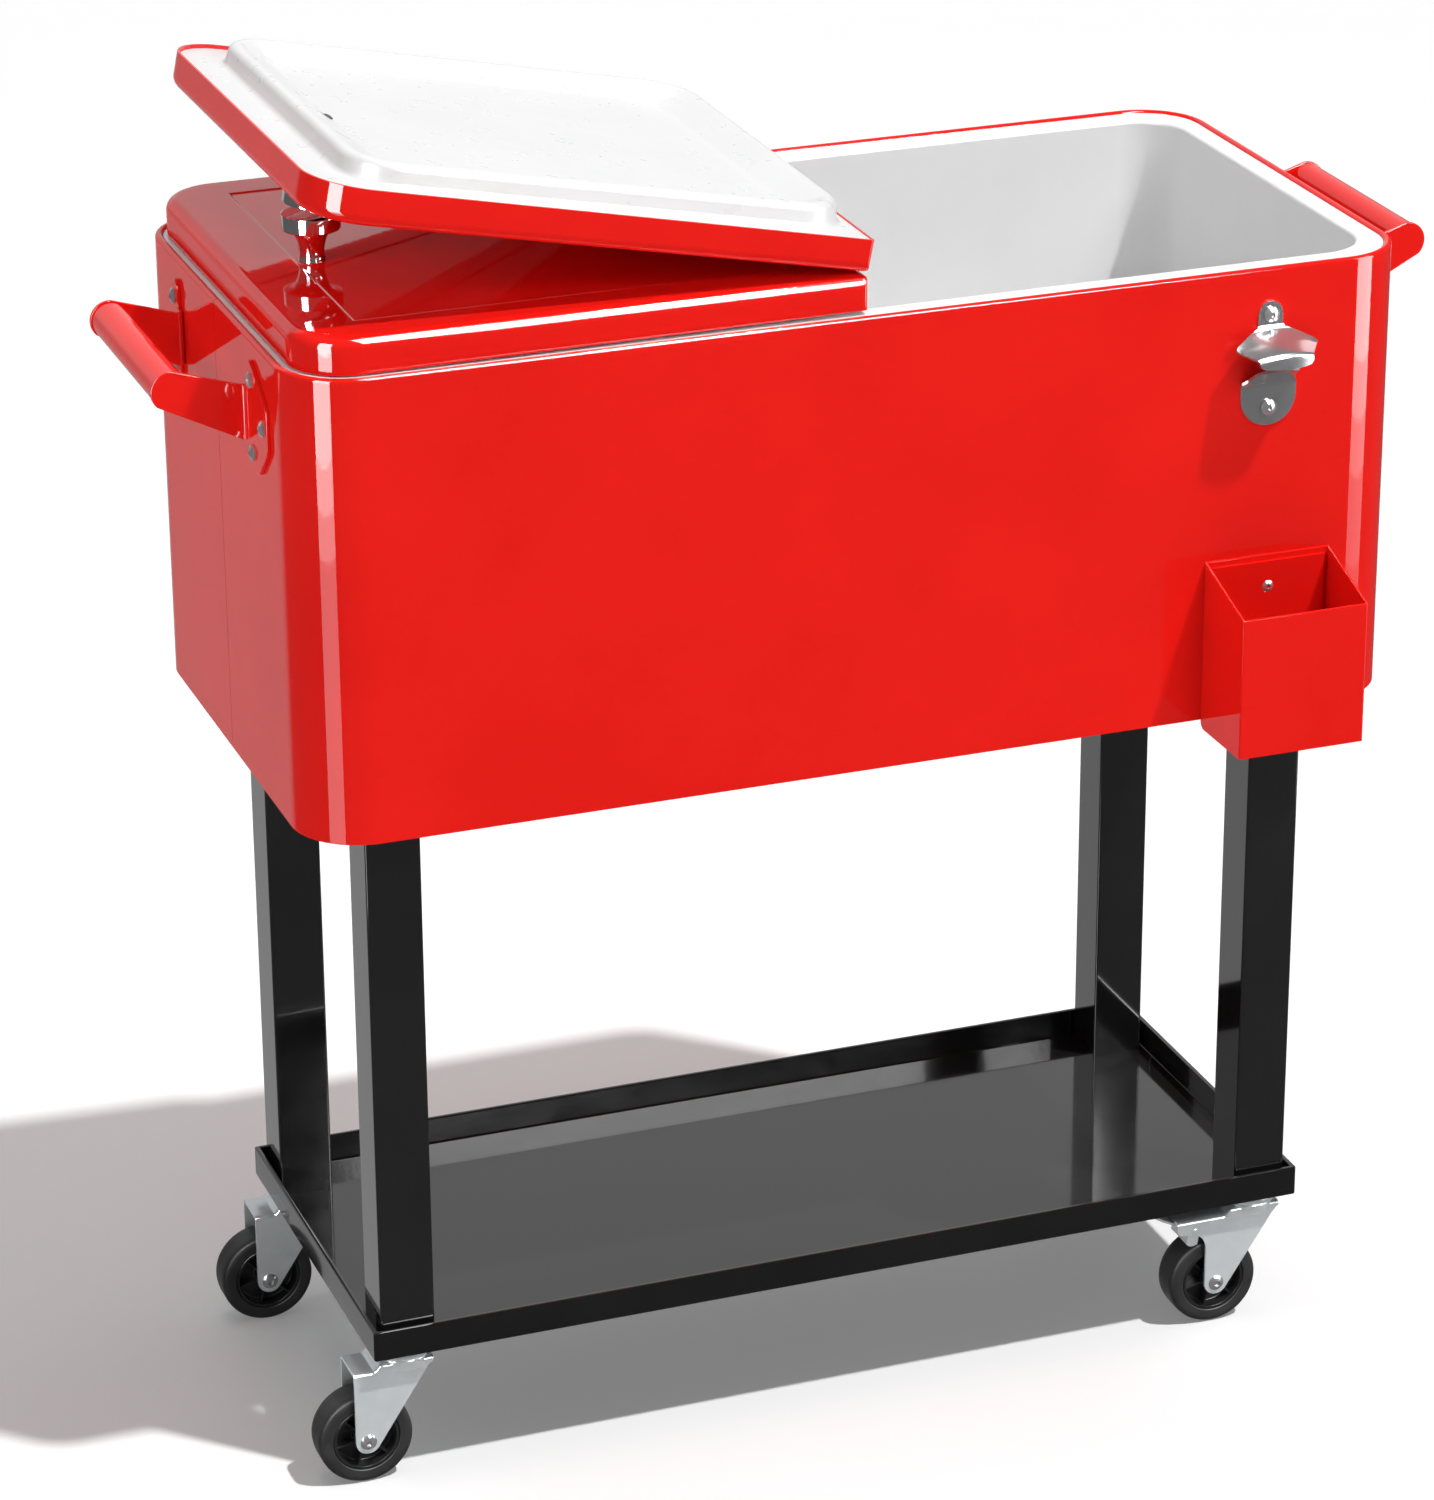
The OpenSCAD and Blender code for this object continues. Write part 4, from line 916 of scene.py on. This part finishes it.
def hub_part(half):
    """Moulded hub: rim ring, web, boss and six ribs."""
    lip = half - 0.6
    profile = [(3.05, -13.4), (7.4, -13.4), (8, -12.8), (8, -2.6), (8.8, -2), (19.2, -2), (20.2, -2.8),
               (20.4, -lip + 0.6), (20.9, -lip), (22.4, -lip), (23, -lip + 0.6)]
    parts = [revolve(profile + [(a, -b) for a, b in reversed(profile)], 72, closed=True)]
    for k in range(6):
        turn = Matrix.Rotation(math.radians(60 * k + 15), 4, "Z")
        for s in (-1, 1):
            rib = [ring(7.6, 20.6, -0.9 + g, 0.9 - g, 0.3, s * z, 2)
                   for g, z in ((0, 1.8), (0.15, 8.2), (0.4, 8.6))]
            parts.append(move_part(loft(rib), turn))
    return join_parts(*parts)


def pedal_part():
    """Brake pedal about its pivot: the cam block, the pin and the dished tread."""
    cam = arc_points(0, 0, 4, 0, 180, 12)
    cam += [(-4.6, -8), (-5, -11), (-3, -12.6), (0, -13), (3, -12), (4, -6)]
    pin = revolve([(0.4, -16.4), (1.7, -16.4), (2, -16.1), (2, 16.1), (1.7, 16.4), (0.4, 16.4)], 32)
    path = bent_path([(0, 3.2), (-13, 3), (-21.5, 7.4), (-29.5, 11.8)], [8, 14], 6)
    run = path_length(path)
    widths = [(0, 9), (run - 9, 10), (run - 5, 9.2), (run - 2.5, 7.4), (run - 1, 5.2), (run, 2.5)]
    samples = resample(path, TREAD_ROWS)
    layers = []
    for side in (TREAD_T / 2, -TREAD_T / 2):
        verts = []
        for i, (p, s) in enumerate(samples):
            ahead = along(samples, i)
            q = p + Vector((-ahead.y, ahead.x)) * -1 * side
            half = table(s, widths)
            for j in range(TREAD_COLUMNS):
                u = -1 + 2 * j / (TREAD_COLUMNS - 1)
                dish = TREAD_DISH * abs(u) ** 3 * min(s / 10, 1)
                verts.append((q.x, half * u, q.y + dish))
        layers.append(verts)
    tread = double_sheet(*layers, TREAD_COLUMNS)
    return join_parts(extrude_outline(cam, -13, 13), move_part(pin, ALONG_Y), tread)


def build_casters():
    caps = []
    for where in CORNERS:
        axis = joint_place(f"swivel_{where}")
        axle = joint_place(f"roll_{where}")
        at = Matrix.Translation((axis[0], axis[1], TRAY_Z))
        axle_z = axle[2] - TRAY_Z
        brake = "right" in where
        caps.append(move_part(cap_part(), at))
        parts = join_parts(fork_part(axle_z, brake), race_part())
        obj = make_object(f"caster_{where}", *move_part(parts, at), sharp=40)
        settle(obj, f"swivel_{where}", "zinc", f"fork_{where}")
        low, high = span(f"wheel_{where}")
        hub_at = Matrix.Translation(axle) @ ALONG_Y
        tyre = move_part(tyre_part((high[2] - low[2]) / 2, WHEEL_HALF), hub_at)
        tyre = make_object(f"tyre_{where}", *tyre, sharp=40)
        settle(tyre, f"roller_{where}", "rubber", f"wheel_{where}")
        hub = make_object(f"hub_{where}", *move_part(hub_part(WHEEL_HALF), hub_at), sharp=40)
        settle(hub, f"roller_{where}", "wheel_plastic")
    obj = make_object("race_caps", *join_parts(*caps), sharp=40)
    settle(obj, "cart", "zinc", "caster_kingpins")
    for side in ("front", "back"):
        at = Matrix.Translation(joint_place(f"brake_{side}_press"))
        obj = make_object(f"pedal_{side}", *move_part(pedal_part(), at), sharp=40)
        settle(obj, f"brake_{side}", "zinc", f"brake_pedal_{side}")


# ---------------------------------------------------------------- stage, light and camera

FLOOR_HALF = 30
FLOOR_WHITE, FLOOR_GLOW = 0.9, 0.17
# Brightness of the studio as the cart sees it: the paper behind, from floor level up, then all round.
WORLD_BACK_LOW, WORLD_BACK_HIGH = 0.28, 0.66
WORLD_DIM, WORLD_TOP = 0.1, 0.15
# Where those change: the cosine of the angle from straight behind, then the sine of the angle up.
PAPER_SIDES = (0.78, 0.9)
PAPER_FOOT, PAPER_HEAD, CEILING = (-0.1, 0.15), (0.55, 0.75), (0.45, 0.85)
SUN_POWER, SUN_PLACE, SUN_ANGLE = 2.5, (1.44, -1.4, 4), 2
# Softboxes at the tub's front corners: azimuth, distance, width, then (from, to, radiance) going up.
STRIP_LEFT = (-145, 0.8, 0.39, ((0.02, 0.36, 2.2), (0.36, 0.40, 4), (0.40, 0.44, 6.5),
                                (0.44, 0.53, 10), (0.53, 1.5, 16)))
STRIP_RIGHT = (-38, 0.8, 0.44, ((0.02, 0.26, 1.2), (0.26, 0.34, 1.8), (0.34, 0.39, 3),
                                (0.39, 0.44, 5), (0.44, 1.5, 7.8)))
# Area lights: watts, place, aim, size.
PANEL = (330, (0.72, -2.0, 3.0), (-0.1, -0.15, 0.8), (1.0, 3.4))
TOP = (14, (0, 0.1, 2.6), (0, 0.03, 0), (2.0, 1.2))
KEY = (28, (0.9, -2.4, 2.3), (0, 0, 0.6), (1.1, 0.7))
FILL = (25, (-2.9, -0.6, 2.0), (-0.2, 0, 0.7), (1.2, 1.2))
CAMERA_PLACE = (-1.18364, -3.08985, 1.83210)
CAMERA_YAW, CAMERA_PITCH, CAMERA_ROLL = 0.3515, 0.3986, 0.0064
CAMERA_SENSOR, CAMERA_LENS, CAMERA_CLIP = 36, 128.296, 100


def build_stage():
    """Pale floor. Gloss on the cart mirrors the studio round it and not this sheet."""
    corners = [(x * FLOOR_HALF, y * FLOOR_HALF, 0) for x, y in ((-1, -1), (1, -1), (1, 1), (-1, 1))]
    mesh = bpy.data.meshes.new("floor")
    mesh.from_pydata(corners, [], [(0, 1, 2, 3)])
    floor = bpy.data.objects.new("floor", mesh)
    bpy.context.scene.collection.objects.link(floor)
    material, _, _, shader = new_material("floor_paper")
    shader.inputs["Base Color"].default_value = (FLOOR_WHITE, FLOOR_WHITE, FLOOR_WHITE, 1)
    shader.inputs["Emission Color"].default_value = (1, 1, 1, 1)
    shader.inputs["Emission Strength"].default_value = FLOOR_GLOW
    shader.inputs["Roughness"].default_value = 1.0
    shader.inputs["Specular IOR Level"].default_value = 0.0
    mesh.materials.append(material)
    floor.visible_glossy = False
    return floor


def math_node(nodes, links, operation, a, b=None):
    node = nodes.new("ShaderNodeMath")
    node.operation = operation
    for socket, value in zip(node.inputs, (a, b)):
        if value is None:
            continue
        if isinstance(value, (int, float)):
            socket.default_value = value
        else:
            links.new(value, socket)
    return node.outputs["Value"]


def build_world():
    """Studio round the cart: bright paper behind, dim sides and front, a soft ceiling; white in view."""
    world = bpy.data.worlds.new("studio")
    bpy.context.scene.world = world
    world.use_nodes = True
    nodes, links = world.node_tree.nodes, world.node_tree.links
    nodes.clear()
    place = nodes.new("ShaderNodeTexCoord")
    split = nodes.new("ShaderNodeSeparateXYZ")
    links.new(place.outputs["Generated"], split.inputs["Vector"])
    x, y, z = split.outputs

    def maths(operation, a, b=None):
        return math_node(nodes, links, operation, a, b)

    def step(value, ends, bottom, top):
        return map_range(nodes, links, value, *ends, bottom, top, "SMOOTHSTEP")

    flat = maths("SQRT", maths("ADD", maths("MULTIPLY", x, x), maths("MULTIPLY", y, y)))
    ahead = maths("DIVIDE", y, maths("MAXIMUM", flat, 0.001))
    back = maths("MULTIPLY", step(ahead, PAPER_SIDES, 0.0, 1.0),
                 step(z, PAPER_FOOT, WORLD_BACK_LOW, WORLD_BACK_HIGH))
    back = maths("MULTIPLY", back, step(z, PAPER_HEAD, 1.0, 0.0))
    total = maths("ADD", back, step(z, CEILING, WORLD_DIM, WORLD_TOP))
    path = nodes.new("ShaderNodeLightPath")
    shown = nodes.new("ShaderNodeMix")
    links.new(path.outputs["Is Camera Ray"], shown.inputs["Factor"])
    links.new(total, shown.inputs["A"])
    shown.inputs["B"].default_value = 1.0
    background = nodes.new("ShaderNodeBackground")
    output = nodes.new("ShaderNodeOutputWorld")
    links.new(shown.outputs["Result"], background.inputs["Strength"])
    links.new(background.outputs["Background"], output.inputs["Surface"])
    background.inputs["Color"].default_value = (1, 1, 1, 1)


def add_light(name, kind, energy, place, aim, size=None, gloss=True, matte=True):
    """Light that the camera doesn't see, aimed at a point. gloss and matte say what it lights."""
    light = bpy.data.lights.new(name, kind)
    light.energy = energy
    obj = bpy.data.objects.new(name, light)
    bpy.context.scene.collection.objects.link(obj)
    obj.location = place
    obj.rotation_euler = (Vector(aim) - Vector(place)).to_track_quat("-Z", "Y").to_euler()
    if size:
        light.shape = "RECTANGLE"
        light.size, light.size_y = size
    obj.visible_camera = False
    obj.visible_glossy = gloss
    obj.visible_diffuse = matte
    return obj


def strip_light(name, corner, azimuth, distance, width, bands):
    """Tall softbox that only gloss sees, facing one upright corner of the tub. Bands go upwards."""
    a = math.radians(azimuth)
    x, y = corner[0] + distance * math.cos(a), corner[1] + distance * math.sin(a)
    for k, (low, high, radiance) in enumerate(bands):
        z = (low + high) / 2
        energy = radiance * width * (high - low) * 4
        add_light(f"{name}_{k}", "AREA", energy, (x, y, z), (*corner, z), (width, high - low), matte=False)


def spare_floor(floor, *lights):
    """Keeps the fill lights off the floor, so that the sun's shadow stays as deep as it should be."""
    lit = bpy.data.collections.new("all_but_floor")
    lit.objects.link(floor)
    lit.collection_objects[0].light_linking.link_state = "EXCLUDE"
    for light in lights:
        light.light_linking.receiver_collection = lit


def build_lights(floor):
    sun = add_light("sun", "SUN", SUN_POWER, SUN_PLACE, (0, 0, 0))
    sun.data.angle = math.radians(SUN_ANGLE)
    strip_light("strip_left", (-TUB_X * MM, FRONT_Y * MM), *STRIP_LEFT)
    strip_light("strip_right", (TUB_X * MM, FRONT_Y * MM), *STRIP_RIGHT)
    add_light("panel", "AREA", *PANEL, matte=False)
    add_light("top", "AREA", *TOP, gloss=False)
    key = add_light("key", "AREA", *KEY, gloss=False)
    fill = add_light("fill", "AREA", *FILL, gloss=False)
    spare_floor(floor, key, fill)


def build_camera():
    """Camera where the photograph was taken from."""
    level = math.cos(CAMERA_PITCH)
    forward = Vector((math.sin(CAMERA_YAW) * level, math.cos(CAMERA_YAW) * level, -math.sin(CAMERA_PITCH)))
    right = Vector((math.cos(CAMERA_YAW), -math.sin(CAMERA_YAW), 0))
    down = forward.cross(right)
    turned_right = right * math.cos(CAMERA_ROLL) + down * math.sin(CAMERA_ROLL)
    turned_down = down * math.cos(CAMERA_ROLL) - right * math.sin(CAMERA_ROLL)
    camera = bpy.data.cameras.new("camera")
    camera.sensor_width = CAMERA_SENSOR
    camera.lens = CAMERA_LENS
    camera.clip_end = CAMERA_CLIP
    obj = bpy.data.objects.new("camera", camera)
    bpy.context.scene.collection.objects.link(obj)
    matrix = Matrix((turned_right, -turned_down, -forward)).transposed().to_4x4()
    matrix.translation = CAMERA_PLACE
    obj.matrix_world = matrix
    bpy.context.scene.camera = obj
    bpy.context.scene.view_settings.view_transform = "Standard"


dress_cad_nodes()
build_tub()
build_liner()
build_lids()
build_handles()
build_opener()
build_catcher()
build_stand()
build_casters()
studio_floor = build_stage()
build_world()
build_lights(studio_floor)
build_camera()
